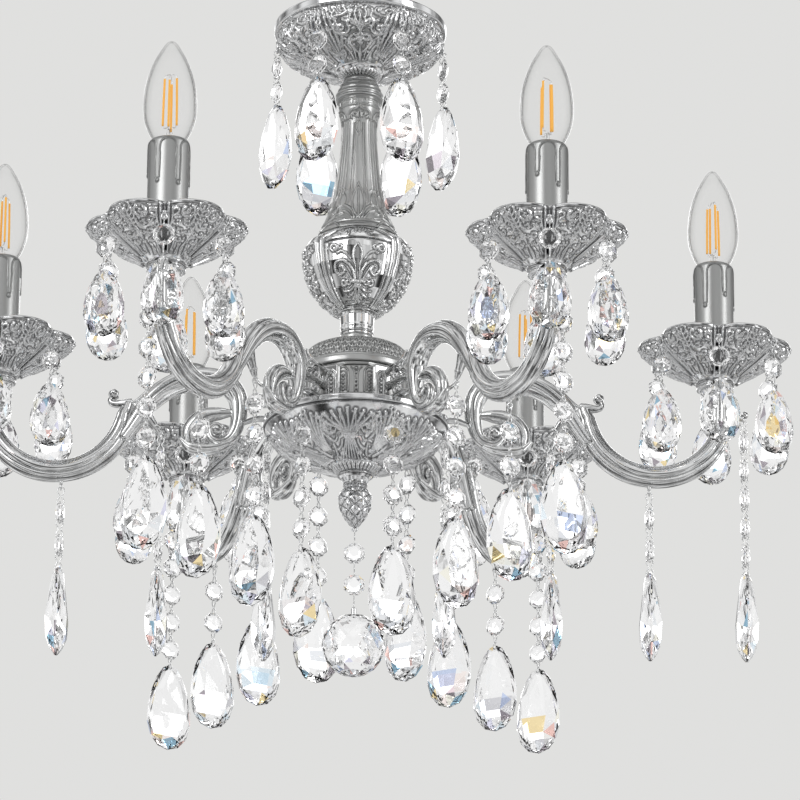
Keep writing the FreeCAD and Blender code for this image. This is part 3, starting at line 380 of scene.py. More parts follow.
def slab(build, x, half, z):
    """A plate square to the radius with rounded corners and softened edges."""
    corner, bevel = 3.0, 1.0
    turns = np.radians(np.arange(0, 360, 12))
    wide, tall = half - corner, (z[1] - z[0]) / 2 - corner
    middle = (z[0] + z[1]) / 2
    rows = []
    for depth, shrink in ((x[0], 0), (x[1] - bevel, 0), (x[1], bevel)):
        reach = corner - shrink
        y = np.sign(np.cos(turns)) * wide + reach * np.cos(turns)
        up = middle + np.sign(np.sin(turns) + 1e-9) * tall + reach * np.sin(turns)
        rows.append(np.stack([np.full(len(turns), depth), y, up], 1))
    count = len(turns)
    faces = [*grid_faces(3, count, loop_rows=False), np.arange(count)[::-1], np.arange(count) + 2 * count]
    build.add(np.vstack(rows), faces, tone=PLAIN_SHADE_TONE)


def panel(build, x, half, z, strokes):
    """Upright plate whose face carries a relief, drawn from its middle and down from its top edge."""
    tall = z[1] - z[0]
    across, down = np.meshgrid(np.linspace(-half, half, int(half * 5)), np.linspace(0, tall, int(tall * 2.5)))
    lift, tone = emboss(across, down, np.ones(across.shape), strokes, 0.75)
    front = np.stack([x[1] + lift, across, z[1] - down], 2)
    back = front[[-1, 0]].copy()
    back[:, :, 0] = x[0]
    rows, cols = len(front) + 2, front.shape[1]
    side = np.arange(rows) * cols
    faces = [*grid_faces(rows, cols, loop_cols=False), side, side[::-1] + cols - 1]
    tone = np.vstack([tone, np.full((2, cols), PLAIN_SHADE_TONE)])
    build.add(np.concatenate([front, back]).reshape(-1, 3), faces, tone=tone.ravel())


# ---------------------------------------------------------------- materials

def material(name, **values):
    """A surface whose constants are set on its shader's sockets; an underscore stands for a space."""
    made = bpy.data.materials.new(name)
    made.use_nodes = True
    for socket, value in values.items():
        shader(made).inputs[socket.replace("_", " ")].default_value = value
    return made


def shader(owner):
    return owner.node_tree.nodes["Principled BSDF"]


def join(owner, output, socket):
    owner.node_tree.links.new(output, socket)


def add_node(owner, kind, **values):
    node = owner.node_tree.nodes.new(kind)
    for key, value in values.items():
        if key in node.inputs:
            node.inputs[key].default_value = value
        else:
            setattr(node, key, value)
    return node


def ramp(owner, factor, stops):
    """A colour ramp of (place, colour) stops on a factor; gives its colour output."""
    node = add_node(owner, "ShaderNodeValToRGB")
    elements = node.color_ramp.elements
    while len(elements) < len(stops):
        elements.new(0.5)
    for element, (place, colour) in zip(elements, stops):
        element.position = place
        element.color = (*colour, 1) if isinstance(colour, tuple) else (colour, colour, colour, 1)
    join(owner, factor, node.inputs["Fac"])
    return node.outputs["Color"]


def chrome_material(name, dark, bright, roughness):
    """Chrome whose crevices are darkened by painted shade, from the value that each mesh carries, with a fine
    random grain mixed in.
    """
    made = material(name, Metallic=1.0, Roughness=roughness)
    tone = add_node(made, "ShaderNodeAttribute", attribute_name="tone")
    grain = add_node(made, "ShaderNodeTexNoise", Scale=90.0, Detail=3.0)
    mixed = add_node(made, "ShaderNodeMath", operation="MULTIPLY_ADD")
    mixed.inputs[1].default_value = 0.16
    join(made, grain.outputs["Fac"], mixed.inputs[0])
    join(made, tone.outputs["Fac"], mixed.inputs[2])
    # Painted shade: a low value turns the metal dark; the added noise is random cast grain.
    stops = [(0.12, dark), (0.62, tuple(0.55 * part for part in bright)), (1.0, bright)]
    join(made, ramp(made, mixed.outputs[0], stops), shader(made).inputs["Base Color"])
    return made


def noisy_material(name, low, high, scale, **values):
    """A surface that varies between two colours."""
    made = material(name, **values)
    grain = add_node(made, "ShaderNodeTexNoise", Scale=scale, Detail=4.0)
    join(made, ramp(made, grain.outputs["Fac"], [(0.3, low), (0.7, high)]), shader(made).inputs["Base Color"])
    return made


def crystal_material():
    """Clear cut glass with a painted flash colour on each facet: dark for painted reflection, coloured for
    painted dispersion.
    """
    made = material("cut_crystal", Roughness=0.0, IOR=1.56, Transmission_Weight=1.0)
    tint = add_node(made, "ShaderNodeAttribute", attribute_name="tint")
    join(made, tint.outputs["Color"], shader(made).inputs["Base Color"])
    return made


def glass_material():
    """Thin bulb glass: clear where it faces the eye, a painted grey shade line at its edge."""
    made = noisy_material("bulb_glass", (0.16, 0.165, 0.165), (0.20, 0.205, 0.205), 8.0, Roughness=0.03,
                          IOR=1.5)
    rim = add_node(made, "ShaderNodeLayerWeight", Blend=0.5)
    # Painted edge shade: more of the grey shows where the glass turns away from the eye.
    clear = ramp(made, rim.outputs["Facing"], [(0.30, 0.02), (0.55, 0.07), (0.70, 0.28), (0.84, 0.62)])
    join(made, clear, shader(made).inputs["Alpha"])
    return made


CHROME = chrome_material("chrome", (0.02, 0.021, 0.024), (0.76, 0.765, 0.77), 0.12)
POLISHED = chrome_material("polished_chrome", (0.03, 0.03, 0.033), (0.80, 0.805, 0.805), 0.08)
SATIN = chrome_material("satin_chrome", (0.05, 0.05, 0.053), (0.50, 0.505, 0.50), 0.3)
SOFT = chrome_material("candle_chrome", (0.03, 0.03, 0.033), (0.42, 0.425, 0.42), 0.36)
CRYSTAL = crystal_material()
GLASS = glass_material()
# The filament also carries a faint painted glow.
AMBER = noisy_material("filament", (0.84, 0.38, 0.03), (0.94, 0.52, 0.10), 300.0, Roughness=0.6,
                       Emission_Color=(1.0, 0.5, 0.1, 1), Emission_Strength=0.16)
ZINC = noisy_material("zinc_plate", (0.42, 0.42, 0.42), (0.58, 0.58, 0.57), 220.0, Metallic=1.0,
                      Roughness=0.42)
PLASTIC = noisy_material("white_plastic", (0.76, 0.75, 0.71), (0.84, 0.83, 0.79), 60.0, Roughness=0.5)

HIDDEN = {"mounting_crossbar": ZINC, "threaded_rod": ZINC, "m10_nuts": ZINC, "arm_screws": ZINC,
          "lamp_sockets": PLASTIC, "terminal_block": PLASTIC}
for label, surface in HIDDEN.items():
    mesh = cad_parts[label].data
    mesh.materials.clear()
    mesh.materials.append(surface)


# ---------------------------------------------------------------- stem

def gadroons(start, end, height):
    """Upright lobes, thirty round the part, between two places along the outside, with painted shade between
    the lobes.
    """
    def extra(angle, along, line):
        inside = np.clip((along - start) * 2, 0, 1) * np.clip((end - along) * 2, 0, 1)
        wave = np.abs(np.cos(angle * 15)) ** 0.5
        return inside * wave * height, 1 - inside * (1 - wave) * 0.9
    return extra


def casting(name, surface, node, outer, inner, hook=None, root=None, turn=0, **relief):
    """A turned casting of the stem; with a hook it has an eyelet below each arm."""
    build = Build()
    lathe(build, outer, inner, **relief)
    for arm in range(ARMS if hook else 0):
        build.parts += eyelet(HOOKS[hook], root).turned(arm * STEP).parts
    build.turned(turn).make(f"{name}_casting", "frame", "chrome_plate", [surface], node)


def canopy():
    """Plain rim, a belly of fleurs, scrolls and fans, a gadrooned neck."""
    outer = [(59.4, 0), (60, -0.5), (60, -5.4), (59.4, -6), (57.6, -6.3), (56.6, -7), (56.4, -12),
             (55.4, -16.2), (52.6, -19.6), (48.4, -22), (40, -25.4), (30, -29.2), (22.5, -31.8),
             (17.2, -33.6), (16.2, -34.6), (14.8, -36.8), (12.4, -37.9), (10.4, -38.4)]
    inner = [(5.4, -38.4), (5.4, -36), (10.6, -36), (21.5, -29.8), (38, -23.6), (48, -19.4), (54, -14.5),
             (55, -7), (56.2, 0)]
    strokes = fleur(28, 1.05, 2.0) + lens(43, 60, 1.8, 1.6) + both([
        (curve([(0.3, 10.6), (3.0, 14), (3.4, 18), (1.4, 24)]), 0.6, 0.7, 1.6),
        (curve([(4.4, 11), (7.6, 13.6), (6.4, 18), (9, 21)]), 0.6, 0.7, 1.4),
        (arc(11.4, 13.4, 2.4, 160, 460, 0.8), 0.6, 0.5, 1.4),
        (arc(17.2, 13.2, 2.0, 20, 320, 0.7), 0.6, 0.5, 1.4),
        (bow((14, 34), (18, 50), -0.12), 0.6, 0.8, 1.5), (arc(13.4, 26, 6.0, 250, -30, 5.0), 0.9, 1.6, 2.2),
        (arc(13.6, 25.4, 2.8, 30, 330, 1.0), 1.3, 0.9, 1.9),
        (curve([(7, 34), (10, 38), (8.6, 44), (3.4, 50)]), 1.3, 0.8, 1.5),
        (curve([(17, 17.5), (12, 17), (7.6, 14.4)]), 0.7, 1.3, 1.5),
        (bow((13.5, 36), (6, 56), 0.1), 0.9, 0.7, 1.3), (bow((19, 38), (9.5, 58), 0.05), 0.8, 0.7, 1.3),
        (arc(21, 50, 3.6, 90, 400, 1.4), 1.0, 0.7, 1.3)])
    for finger in range(-3, 4):
        top = 11.5 + abs(finger) * 1.7
        for side in (-1, 1):
            root, tip = side * 26.2 + finger * 1.2, side * 26.2 + finger * 2.8
            strokes.append((bow((root, 52), (tip, top), 0.05 * finger), 0.5, 1.2, 1.9))
            strokes.append((bow((root, 48), (tip, top + 2), 0.05 * finger), 0.2, 0.3, 2.5))
    strokes += nubs(110, (-26, 26), (9.6, 60), 0.5, 1.1, 1.3) + nubs(46, (-26, 26), (8.4, 14), 0.5, 0.9, 1.6)
    casting("canopy", CHROME, "canopy_dish", outer, inner, "canopy", (56.8, -12), strokes=strokes, ref=50,
            cols=150, start=STEP / 2, extra=gadroons(65.2, 73.5, 1.1))


def column():
    """Cone with rings, trefoil arches with a pendant, thin flutes and a foot of lilies; four sides."""
    outer = [(8.6, -38.6), (11, -41.8), (13.6, -46.6), (15.1, -50.6), (15.9, -53), (16, -56), (14.4, -57.6),
             (13.8, -62), (13.2, -66), (12.1, -71), (11.6, -76), (11.8, -85), (12.6, -96), (13.8, -108),
             (15.1, -120), (16.8, -131), (19.4, -141), (22.8, -149.5), (26.4, -155.8), (28.6, -159),
             (28.8, -159.9)]
    inner = [(26.4, -159.9), (20.6, -149.6), (17.2, -141), (14.6, -131), (12.8, -120), (11.4, -108),
             (10, -94), (9.4, -80), (9.8, -70), (11.4, -60), (11.8, -53), (8, -44), (5.4, -41), (5.4, -38.6)]
    strokes = rings((1.4, 0.7, 0.6), (4.2, 0.6, 0.7), (8.4, 0.6, 0.6), (12.2, 0.7, 0.8), (15.8, 0.8, 1.0),
                    (19.2, 0.8, 1.0), (22.0, 0.6, 0.6), (27.4, 0.5, 0.6), (112.5, 0.6, 0.7),
                    (114.6, 0.5, 0.5))
    strokes += both([
        ([(1.8, 23.4), (4.8, 23.4), (4.8, 26.2), (1.8, 26.2), (1.8, 23.4)], 0.35, 0.35, 0.6),
        ([(6.6, 23.6), (10.6, 23.6), (10.6, 26), (6.6, 26)], 0.35, 0.35, 0.6),
        (curve([(0, 28.4), (2, 30.6), (5.4, 31.2), (8.6, 33.4), (9.6, 37)]), 0.7, 0.9, 1.2),
        (arc(3.6, 34.6, 1.9, 120, 420, 0.9), 0.8, 0.6, 1.0),
        (arc(7.4, 36.4, 1.5, 150, 430, 0.7), 0.7, 0.5, 0.9),
        (bow((0.2, 37.5), (0.2, 49.5), 0.2), 0.45, 0.45, 0.9), ([(1, 33), (1.2, 36.6)], 0.7, 0.7, 1.0),
        ([(3.3, 41), (3.6, 96)], 0.4, 0.5, 0.8), ([(4.6, 41), (5.2, 98)], 0.35, 0.4, 0.6),
        ([(8.6, 39), (8.9, 88)], 0.5, 0.5, 0.9), ([(10.4, 39), (10.9, 100)], 0.4, 0.5, 0.7),
        (bow((0.3, 83), (0.6, 111), 0.13), 0.5, 0.6, 1.0), ([(0.1, 88), (0.1, 108)], 0.4, 0.6, 0.8),
        (curve([(1.6, 110.5), (3.4, 103), (7.4, 99), (10.6, 101.6), (9.8, 106), (6.9, 105.4)]), 0.9, 0.7,
         1.2), (curve([(2.4, 111), (4.8, 105.4), (8, 103)]), 0.6, 0.5, 1.0),
        (bow((7.4, 98), (8.9, 89.4), -0.12), 0.5, 0.4, 0.8),
        (bow((10.4, 98), (8.9, 89.4), 0.12), 0.5, 0.4, 0.8), ([(7.4, 87.6), (10.4, 87.6)], 0.5, 0.5, 0.8),
        ([(8.9, 85.6), (8.9, 89.6)], 0.5, 0.5, 0.8),
        (curve([(10.8, 108), (8.2, 110), (5, 112)]), 0.7, 0.6, 1.0),
        (bow((10.8, 112), (6.6, 119), 0.1), 0.7, 0.6, 1.0)])

    def lower(path):
        """Draws the pattern out towards the foot."""
        path = np.array(path, float)
        path[:, 1] += np.clip(path[:, 1] - 45, 0, None) * 0.12
        return path
    strokes = [(lower(path), *rest) for path, *rest in strokes]
    casting("column", SATIN, "stem_column", outer, inner, strokes=strokes, ref=14, cols=150, sectors=4,
            start=FRONT, step=0.5, deep=0.45)


def vase():
    """Urn with a polished panel front and back, a lily on each between ribs, and filigree beside them."""
    outer = [(27.8, -160.2), (28.4, -161.2), (31, -162.6), (34.6, -165.2), (36.6, -168.6), (37.3, -172.4),
             (37.2, -178), (35.6, -187), (32.3, -196), (27, -204), (21, -209.6), (16.4, -212.6),
             (13.6, -213.6), (13.8, -215), (13.0, -216.2), (11.7, -217.6), (11.3, -224), (11.6, -225.4),
             (11.2, -227), (11.0, -229.2), (11.0, -231.4)]
    inner = [(5.4, -231.4), (5.4, -216), (9.6, -213), (18, -206), (24.6, -200), (30, -192.6), (33.4, -184),
             (35, -176), (34.6, -170), (30, -164), (26, -161.4), (5.4, -161.4), (5.4, -160.2)]
    lily = both([
        (curve([(0.2, 10.4), (2.7, 16), (2.9, 21), (1.5, 27), (1.3, 36)]), 0.55, 0.6, 1.3),
        (curve([(1.8, 36), (4.0, 28), (9.4, 22.2), (15, 22.6), (16.8, 27.6), (13.6, 31.6), (9.8, 29.4),
                (10.8, 26.6)]), 1.1, 0.9, 1.9),
        (curve([(4.2, 35.4), (7.4, 29.8), (10.4, 25.6), (13.4, 26)]), 0.6, 0.7, 1.3),
        (curve([(3.2, 35.6), (9, 34.4), (14.4, 33)]), 0.5, 0.5, 1.0),
        (arc(11.8, 37.6, 1.9, 0, 350), 0.9, 0.9, 1.3), (arc(7.6, 37.4, 1.6, 0, 350), 0.7, 0.7, 1.1),
        ([(0, 36.8), (4.2, 36.8)], 1.2, 1.2, 1.8), (bow((1, 38.8), (4.8, 50), 0.14), 0.7, 1.0, 1.3),
        (bow((1.4, 38.6), (9.6, 48), 0.18), 0.7, 0.9, 1.2),
        (bow((0.4, 39), (1.8, 53), 0.05), 0.6, 0.9, 1.3),
        (bow((2, 38.4), (13.6, 43.4), 0.2), 0.7, 0.8, 1.1),
        (curve([(5, 21), (7.6, 17.4), (11, 15.4), (14, 16.2)]), 0.6, 1.0, 1.2),
        (arc(16.2, 12.4, 2.2, 0, 350), 1.0, 1.0, 1.6), (arc(11.8, 12, 1.3, 0, 350), 0.7, 0.7, 1.2)])
    strokes = [(np.asarray(path, float) + [0, 10.4], *rest) for path, *rest in lily]
    strokes += rings((68.6, 0.8, 0.6), (83.4, 0.6, 0.6)) + both([
        (curve([(21.4, 19), (21.6, 32), (22, 50), (22.6, 66)]), 0.8, 0.7, 1.5),
        (curve([(25.8, 15), (25.8, 30), (26, 50), (26.8, 66)]), 1.7, 1.3, 2.0),
        (curve([(30, 12), (30, 30), (30.2, 50), (30.8, 66)]), 1.3, 1.1, 1.9),
        (curve([(4, 1.4), (12, 6), (25, 13.4)]), 1.6, 1.8, 0.9), ([(0, 1.2), (4.2, 1.2)], 0.6, 0.6, 0.7),
        ([(1.4, 6), (1.4, 12)], 0.5, 0.5, 0.7), ([(0, 62.6), (18, 62.6)], 0.7, 0.7, 0.8)])
    strokes += nubs(50, (-14, 14), (55, 61.6), 0.45, 0.75, 1.0) + nubs(26, (-14, 14), (8, 13.6), 0.5, 0.8,
                                                                       0.8)
    for side in (-1, 1):
        x = side * 46
        strokes += nubs(60, (x - 11, x + 11), (12, 66), 0.8, 1.5, 1.1)
        for row in range(5):
            strokes.append((arc(x - 5.4, 17 + row * 11, 3.6, 40, 330, 1.2), 1.0, 0.8, 1.5))
            strokes.append((arc(x + 5.4, 22 + row * 11, 3.4, 220, 510, 1.2), 1.0, 0.8, 1.5))

    def shaded_groove(angle, along, line):
        """A groove over each polished panel, darkened with painted shade."""
        across = np.clip((24.6 - np.abs(angle) * 36) / 1.5, 0, 1)
        inside = np.exp(-((along - 16.2 - np.abs(angle) * 1.2) / 0.75) ** 2) * across
        return -0.8 * inside, 1 - 0.97 * inside
    casting("vase", POLISHED, "vase", outer, inner, strokes=strokes, ref=36, cols=440, sectors=2, start=FRONT,
            step=0.5, extra=shaded_groove)


def dome():
    """Scaled leaf roof over the hub with three plain steps at its foot."""
    outer = [(10.8, -231.7), (11.6, -232.4), (11.9, -233.6), (11.6, -234.6), (13.4, -236), (17, -237.6),
             (22, -239.6), (27, -241.4), (32, -243.8), (35, -246.8), (37, -250.2), (38.2, -253.8),
             (38.8, -256.4), (40.3, -256.8), (40.6, -258.6), (41.8, -259), (42, -262.8), (41.4, -263.4)]
    inner = [(35.8, -263.4), (35.6, -258), (34, -252), (30, -246), (21, -242), (14, -239), (10, -237),
             (5.4, -236.4), (5.4, -231.7)]
    strokes = []
    for row in range(5):
        level = 21.6 + row * 4.1
        for place in range(-4, 5):
            x = (place + row % 2 / 2) * 5.2
            strokes.append((arc(x, level, 2.2, -10, 190, count=10), 0.5, 0.5, 1.1))
            strokes.append(([(x, level - 1), (x, level + 1.4)], 0.4, 0.8, 1.1))
    strokes += nubs(36, (-19, 19), (22, 40), 0.4, 0.7, 1.2)
    casting("dome", SATIN, "hub_dome", outer, inner, strokes=strokes, ref=37, cols=130, start=STEP / 2)


def drum():
    """Band of upright arches, cut flat where the arms are bolted on."""
    outer = [(40.6, -263.7), (41, -264.4), (41, -266), (40.2, -266.6), (40.2, -286), (41, -286.6),
             (41, -288.4), (42, -289), (42, -294.3)]
    inner = [(35.2, -294.3), (35.2, -263.7)]
    strokes = rings((2.2, 0.5, 0.5), (23.4, 0.5, 0.5))
    for x in (-8.8, 8.8):
        arch = curve([(x - 3.4, 22), (x - 3.4, 9), (x - 2, 5.4), (x, 4.2), (x + 2, 5.4), (x + 3.4, 9),
                      (x + 3.4, 22)])
        inside = curve([(x - 1.9, 21), (x - 1.9, 9.6), (x, 7.2), (x + 1.9, 9.6), (x + 1.9, 21)])
        strokes += even(arch, 0.5, 0.8) + even(inside, 0.35, 0.5)
        strokes += pearls(x, (10.4, 13, 15.6, 18.2, 20.6), 0.8, 0.9)
    for x in (-17.6, 0, 17.6):
        for side in (-1, 1):
            pillar = [(x + side * 3.8, 4.4), (x + side * 1.8, 6.8), (x + side, 11), (x + side, 22)]
            strokes += even(curve(pillar), 0.4, 0.7)
        strokes += pearls(x, (5.4, 8.4, 14, 17, 20), 0.9, 0.9)

    def flats(angle, radius, base):
        beside = np.radians(STEP / 2) - np.abs(angle)
        return np.minimum(radius, 38.9 / np.cos(beside))
    casting("drum", SATIN, "hub_drum", outer, inner, strokes=strokes, ref=40, cols=170, start=STEP / 2,
            shape=flats, step=0.4)


def bowl():
    """Plain rim band, acanthus fans, scrolls and long leaves, gadroons and a ring for the bud."""
    outer = [(63, -294.6), (63.4, -295), (63.4, -298.2), (63, -298.8), (61.6, -299), (61.4, -299.8),
             (62.2, -300.2), (60, -302.6), (56.4, -306.4), (51.4, -310.8), (45, -315.4), (36.6, -319.6),
             (28.4, -322.6), (21.6, -324.6), (17.6, -325.4), (15.6, -326.2), (13.4, -328.4), (12, -329.4),
             (12, -330.4)]
    inner = [(5.4, -330.4), (5.4, -324.6), (10, -324.6), (21, -322), (35, -316.6), (43, -312.4), (50, -307),
             (56, -301.4), (60, -297), (60.4, -294.6)]
    strokes = []
    for finger in range(-4, 5):
        away = abs(finger)
        strokes.append((curve([(finger * 1.0, 36), (finger * 2.1, 27), (finger * 3.9, 19 + away),
                               (finger * 5.5, 12.6 + away)]), 0.6, 1.6, 2.2))
        strokes.append((bow((finger * 1.9, 33), (finger * 5.9, 15.5 + away), 0.06 * finger), 0.25, 0.3, 2.9))
    for finger in range(-3, 4):
        away = abs(finger)
        strokes.append((curve([(finger * 1.1, 31), (finger * 1.5, 38), (finger * 3.2, 48),
                               (finger * 5.8, 58)]), 0.5, 0.85, 1.6))
        for x in (-30.4, 30.4):
            strokes.append((curve([(x + finger * 1.5, 46), (x + finger * 2, 32), (x + finger * 3.2, 20),
                                   (x + finger * 4.2, 13 + away)]), 0.6, 1.5, 2.0))
    strokes += both([
        (arc(15.6, 25.6, 5.6, 250, -70, 4.4), 0.8, 1.6, 2.0),
        (arc(15.8, 25.4, 2.4, -20, 290, 1.0), 1.1, 0.8, 1.7),
        (curve([(12, 35), (15.6, 38.4), (19.6, 36), (22.6, 29)]), 0.8, 1.2, 1.6),
        (bow((8, 38), (16.6, 47), 0.14), 0.9, 1.2, 1.6), (arc(12, 51, 2.4, 0, 330, 1.2), 0.9, 0.7, 1.4),
        (bow((19, 41), (24, 54), 0.1), 0.9, 1.1, 1.5)])
    strokes += nubs(70, (-30, 30), (14, 60), 0.6, 1.1)
    lobes = gadroons(62.5, 68.5, 1.2)

    def lobes_and_recess_shade(angle, along, line):
        lift, tone = lobes(angle, along, line)
        # Painted shade in the recess under the rim band.
        return lift, tone * np.where((along > 4.6) & (along < 6.6), 0.15, 1)
    casting("bowl", CHROME, "lower_bowl", outer, inner, "bowl", (60.2, -300), BOWL_TURN, strokes=strokes,
            ref=58, cols=190, start=STEP / 2, extra=lobes_and_recess_shade)


def bud():
    """Cap, stalk and a pine cone of scales, with an eyelet below."""
    outer = [(11.4, -330.7), (11.8, -331.4), (11.6, -333), (9.6, -334.6), (8.4, -337), (8, -338.8),
             (5.4, -340.2), (6.4, -341.4), (9.4, -344), (10.6, -347), (10.9, -350), (10.2, -354.6),
             (8.4, -359), (5.6, -363.6), (2.8, -367), (0.8, -368.4)]
    inner = [(0.8, -367.4), (0.8, -340), (5.0, -338), (5.0, -330.7)]

    def scales(angle, along, line):
        lower = np.clip((along - 12.4) * 0.5, 0, 1)
        turns, down = angle * 6 / math.pi, along / 4.2
        first = np.abs(np.sin((turns + down) * math.pi / 2))
        second = np.abs(np.sin((turns - down) * math.pi / 2))
        bump = np.minimum(first, second) ** 0.6
        # Painted shade between the scales.
        return lower * bump * 0.9, 1 - lower * (1 - np.clip(bump * 1.6, 0, 1)) * 0.85
    build = Build()
    bands = rings((1.6, 0.7, 0.6), (9.6, 0.6, 0.6))
    lathe(build, outer, inner, strokes=bands, ref=10, cols=30, extra=scales, step=0.4)
    build.parts += eyelet(HOOKS["ball"], (0, -366)).turned(FRONT).parts
    build.make("bud_casting", "frame", "chrome_plate", [CHROME], "finial")


canopy(), column(), vase(), dome(), drum(), bowl(), bud()


# ---------------------------------------------------------------- arms

def around_sweep(start, end, radius):
    """Points round the centre of an arm's lower sweep."""
    return arc(204, -283, radius, start, end, count=40)


def root_plate(build):
    """The plate bolted to the hub, with an arch of pearls on each side of the bracket."""
    slab(build, (39.05, 43), 11, (-292.3, -265.7))
    arches = even(curve([(9.2, 23), (9.2, 8), (7.4, 4.6), (5.4, 3.4), (3.4, 4.6), (2, 8), (2, 23)]), 0.5, 0.9)
    arches += even(curve([(7.6, 22), (7.6, 9), (5.6, 6.4), (3.6, 9), (3.6, 22)]), 0.35, 0.7)
    arches += pearls(5.6, (9.4, 12.2, 15, 17.8, 20.6), 0.9, 1.0)
    panel(build, (42.6, 43.6), 10.2, (-290.8, -267.2), both(arches))


def bracket(build):
    """Stacked scrolls between the root plate and the leg of the arch."""
    ribbed = {"around": 20, "ribs": 6, "depth": 0.25}
    scrolls = [(56.6, -276.6, 6.0, 20, 330, 2.1), (56.2, -286.2, 4.8, 340, 40, 1.9),
               (66.4, -280.6, 5.4, 120, -150, 2.1)]
    for x, z, radius, first, last, thick in scrolls:
        path = arc(x, z, radius, first, last, radius * 0.42, count=40)
        sweep(build, path, [thick, thick, thick * 0.8, thick * 0.55], flat=1.35, **ribbed)
        knob(build, (x, 0, z), radius * 0.42, squash=1.3)
    upper = curve([(43, -270.6), (50, -269.2), (58, -269.4), (64.4, -267), (68.6, -262.6)])
    lower = curve([(43, -289.6), (50, -291.4), (59, -291.6), (68, -291.6), (77, -294.6)])
    middle = curve([(43, -281), (52, -280.6), (62, -281), (75, -283)])
    sweep(build, upper, [2.0, 2.4, 2.2, 1.8, 0.9], flat=1.5, **ribbed)
    sweep(build, lower, [2.2, 2.6, 2.4, 1.8], flat=1.6, **ribbed)
    sweep(build, middle, [3.4, 2.8, 2.6, 3.4], around=20, ribs=8, depth=0.3, flat=1.2)


def arm_pattern():
    """Root plate, bracket, volute, arch, sweep, curls, cup seat and eyelets of one arm, in its own plane."""
    build = Build()
    root_plate(build)
    bracket(build)
    arch = curve([(91.5, -299.2), (93.6, -296.4), (97.2, -297), (99.6, -300.6), (98.6, -305.2),
                  (94.4, -308.4), (88.6, -307.8), (83.6, -303.4), (80.8, -296), (79.8, -286),
                  (81.2, -276.4), (86.4, -268.6), (94.6, -263.8), (104.6, -262.6), (114.6, -264),
                  (124.4, -267.6), (133.2, -273.2), (140.6, -280.4), (146.8, -288.6), (152.4, -297.6),
                  (158.4, -306.4)])
    arch_size = [1.6, 2.4, 3.0, 3.6, 4.4, 5.4, 6.3, 7.0, 7.5, 7.7, 7.8, 7.9, 7.9, 7.7, 7.3, 6.6, 5.8, 5.0,
                 4.6]
    sweep(build, arch, arch_size, around=48, ribs=6, depth=0.18, flat=1.05, plain=True)
    horn = curve([(154.8, -281.6), (155.6, -284.4), (156.6, -287.4)])
    to_cup = curve([(250.4, -286), (249.8, -278), (247.6, -272.4), (245.6, -269.4)])[4:]
    main_size = [4.4, 5.8, 6.2, 6.4, 6.5, 6.5, 6.5, 6.5, 6.4, 6.2, 5.8, 5.4]
    main = np.vstack([horn, around_sweep(188, 352, 46.6), to_cup])
    sweep(build, main, main_size, around=48, ribs=4, depth=0.3, flat=1.12)
    rail = around_sweep(210, 338, 51.4)
    sweep(build, rail, [4.6, 4.4, 4.3, 4.2, 4.1, 3.9, 3.4, 2.4], around=32, ribs=4, depth=0.28, flat=1.35)
    neck = curve([(152.6, -281.4), (158, -281.8), (164, -282), (167.2, -280.8), (167.4, -278.4),
                  (165.6, -276.8)])
    sweep(build, neck, [3.4, 3.4, 2.9, 2.3, 1.9, 1.5], around=24, ribs=4, depth=0.2, flat=1.5)
    ridge = curve([(155.4, -281.6), (150.6, -280), (145.4, -275.6), (139.4, -269.6), (131.8, -264.6),
                   (122, -260.4)])
    sweep(build, ridge, [0.8, 1.3, 1.5, 1.4, 1.1, 0.6], around=12)
    fan = curve([(86, -309.8), (94, -313.2), (104, -314.6), (113, -312.6), (119.6, -306)])
    sweep(build, fan, [2.0, 3.6, 4.4, 3.6, 1.4], around=40, ribs=6, depth=0.2, flat=1.5)
    palm = curve([(84, -287.6), (92, -288), (101, -289.6), (109, -294.4), (113.6, -301.6), (113.4, -309)])
    sweep(build, palm, [2.2, 4.4, 5.6, 5.8, 5.2, 3.6], around=40, ribs=5, depth=0.16, flat=0.95)
    outer_curl = curve([(252.6, -287), (257.4, -289.4), (261.4, -288.6), (263.8, -286.8)])
    sweep(build, outer_curl, [4.2, 3.2, 2.2, 1.8], around=16)
    inner_curl = curve([(144, -284.5), (140.6, -291.4), (136.8, -297), (133.2, -302.6)])
    sweep(build, inner_curl, [4.2, 3.4, 2.4, 1.5], around=20, ribs=6, depth=0.3, flat=1.3)
    for side in (-1, 1):
        knob(build, (165.3, side * 0.8, -275.2), 3.9, squash=0.9)
        knob(build, (94.6, side * 3.2, -301.4), 4.4)
        knob(build, (257.4, side * 1.0, -284.4), 3.2, squash=0.8)
    knob(build, (264.8, 0, -285.4), 2.7)
    knob(build, (135.2, 0, -298.6), 3.0)
    seat = Build()
    lathe(seat, [(10, -268.55), (10.2, -269.4), (8.4, -271), (7.2, -272.6), (7.6, -274.2), (7.2, -276),
                 (5.4, -278)], [(1, -278), (1, -268.55)], cols=24, sectors=2)
    build.parts += seat.turned(0, (LAMP_SEAT[0], 0, 0)).parts
    for kind, root in (("outer", (263.8, -286)), ("low", (199.3, -337.6)), ("inner", (132.9, -302.6))):
        build.parts += eyelet(HOOKS[kind], root).parts
    return build


# ---------------------------------------------------------------- candle cups and lamps

def lobe(angle, radius, base):
    """Draws a round outline in to six lobes, more so towards the rim: each lobe is an arc off the axis."""
    middle, swing, foot, rim = 30, 22, 15, 52
    edge = middle * np.cos(angle) + np.sqrt(swing**2 - (middle * np.sin(angle))**2)
    share = np.clip((base - foot) / (rim - foot), 0, 1)
    return radius * (1 - (1 - edge / rim) * share ** 0.8)


def curl(x, s, radius, first, last, end, height):
    """A scroll that stays round where the cup is narrower than its rim."""
    stretch = 50 / (57 - 0.87 * s)
    path = [(x + (across - x) * stretch, down) for across, down in arc(x, s, radius, first, last, end)]
    return path, 1.0, 0.75, height


